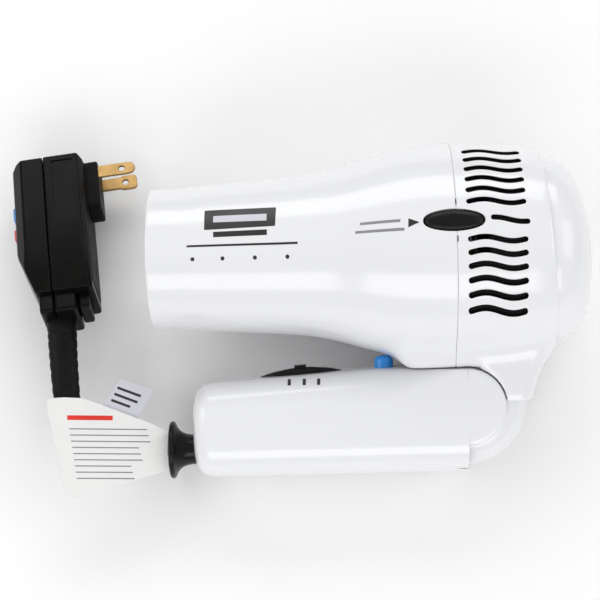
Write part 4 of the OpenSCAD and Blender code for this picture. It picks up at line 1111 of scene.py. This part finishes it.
bars = []
for k in range(9):
    y = 8.5 - 2.9 * k
    bars.append(strip((-46 + 0.5 * k, y), (-10 + (k % 3) * 2.0 - 1.2 * k, y - 0.0), 0.55))
v, f = joined([sheet(o, 1.4, lambda x, y: (x, y, 0.5 + tag_z(x, y)), lambda x, y: (x, y, 0.3 + tag_z(x, y))) for o in bars])
piece("tag_bars", v, f, "ink_grey", "handle", MT, 40, slot="label_grey")
v, f = joined([sheet(o, 1.4, lambda x, y: (x, y, 0.5 + tag_z(x, y)), lambda x, y: (x, y, 0.3 + tag_z(x, y))) for o in [strip((-47, 13.8), (-26, 13.8), 2.2)]])
piece("tag_heading", v, f, "ink_red", "handle", MT, 40, slot="button_red")
v, f = joined([sheet(o, 1.4, lambda x, y: (x, y, -0.1), lambda x, y: (x, y, -0.35)) for o in [strip((-24.0, 28.6), (-13, 24.6), 1.2), strip((-25.4, 25.6), (-14.6, 21.6), 1.2), strip((-26.8, 22.6), (-18.0, 19.4), 1.2)]])
piece("sticker_bars", v, f, "ink", "handle", MT, 40, slot="gloss_black")

# ------------------------------------------------------------------ carried-over CAD nodes
CARRY = {"air_screen": "mesh", "outlet_grille": "grille", "heat_shield": "mica", "mica_frame": "mica", "heater_coils": "nichrome", "thermal_cutouts": "steel",
         "ionizer_module": "potting", "ion_needle": "steel", "motor_mount": "dark", "motor_can": "steel", "motor_end_cap": "dark", "motor_magnets": "magnet",
         "motor_bearings": "brass", "motor_brushes": "carbon", "rectifier_board": "board", "housing_screws": "steel", "heater_wires": "redwire", "armature": "copper",
         "motor_shaft": "steel", "fan_impeller": "dark", "reel_frame": "dark", "reel_axle": "steel", "spring_case": "dark", "reel_spring": "steel", "brush_holder": "brass",
         "reel_spool": "dark", "slip_rings": "brass", "wound_cord": "rubber", "cord_in_housing": "rubber", "button_springs": "steel", "brake_lever": "steel",
         "brake_pin": "steel", "hinge_pin": "steel", "hinge_washers": "steel", "detent_spring": "steel", "handle_screws": "steel", "switch_body": "dark",
         "cool_spring": "steel", "cool_switch": "dark", "cord_in_handle": "rubber", "plug_board": "board"}
for n, mat in CARRY.items():
    NODES[n].data.materials.clear()
    NODES[n].data.materials.append(M[mat])

# ------------------------------------------------------------------ floor, light
me = bpy.data.meshes.new("floor")
S = 4.0
me.from_pydata([(-S, -S, 0), (S, -S, 0), (S, S, 0), (-S, S, 0)], [], [(0, 1, 2, 3)])
floor = link("floor", me)
fm = bpy.data.materials.new("floor_white")
fm.use_nodes = True
fb = fm.node_tree.nodes["Principled BSDF"]
fb.inputs["Base Color"].default_value = (0.93, 0.93, 0.93, 1)
fb.inputs["Roughness"].default_value = 0.9
fb.inputs["Specular IOR Level"].default_value = 0.1
me.materials.append(fm)

world = bpy.data.worlds.new("world")
scene.world = world
world.use_nodes = True
bg = world.node_tree.nodes["Background"]
bg.inputs[0].default_value = (1, 1, 1, 1)
bg.inputs[1].default_value = 0.52


def area(name, loc, target, size, power, color=(1, 1, 1), shape="RECTANGLE", size_y=None):
    d = bpy.data.lights.new(name, "AREA")
    d.shape, d.size = shape, size
    if size_y:
        d.size_y = size_y
    d.energy, d.color = power, color
    o = bpy.data.objects.new(name, d)
    scene.collection.objects.link(o)
    o.location = loc
    o.rotation_euler = (Vector(target) - Vector(loc)).to_track_quat("-Z", "Y").to_euler()
    return o


area("north", (0.0, 1.05, 0.80), (0, 0.03, 0.03), 1.5, 7.2, size_y=0.6)
area("south", (0.0, -1.05, 0.80), (0, -0.03, 0.03), 1.5, 7.2, size_y=0.6)
area("east", (1.05, 0.0, 0.80), (0, 0, 0.03), 0.8, 2.4, size_y=0.6)
area("west", (-1.05, 0.0, 0.80), (0, 0, 0.03), 0.8, 2.8, size_y=0.6)
scene.view_settings.view_transform = "Standard"
scene.view_settings.look = "None"
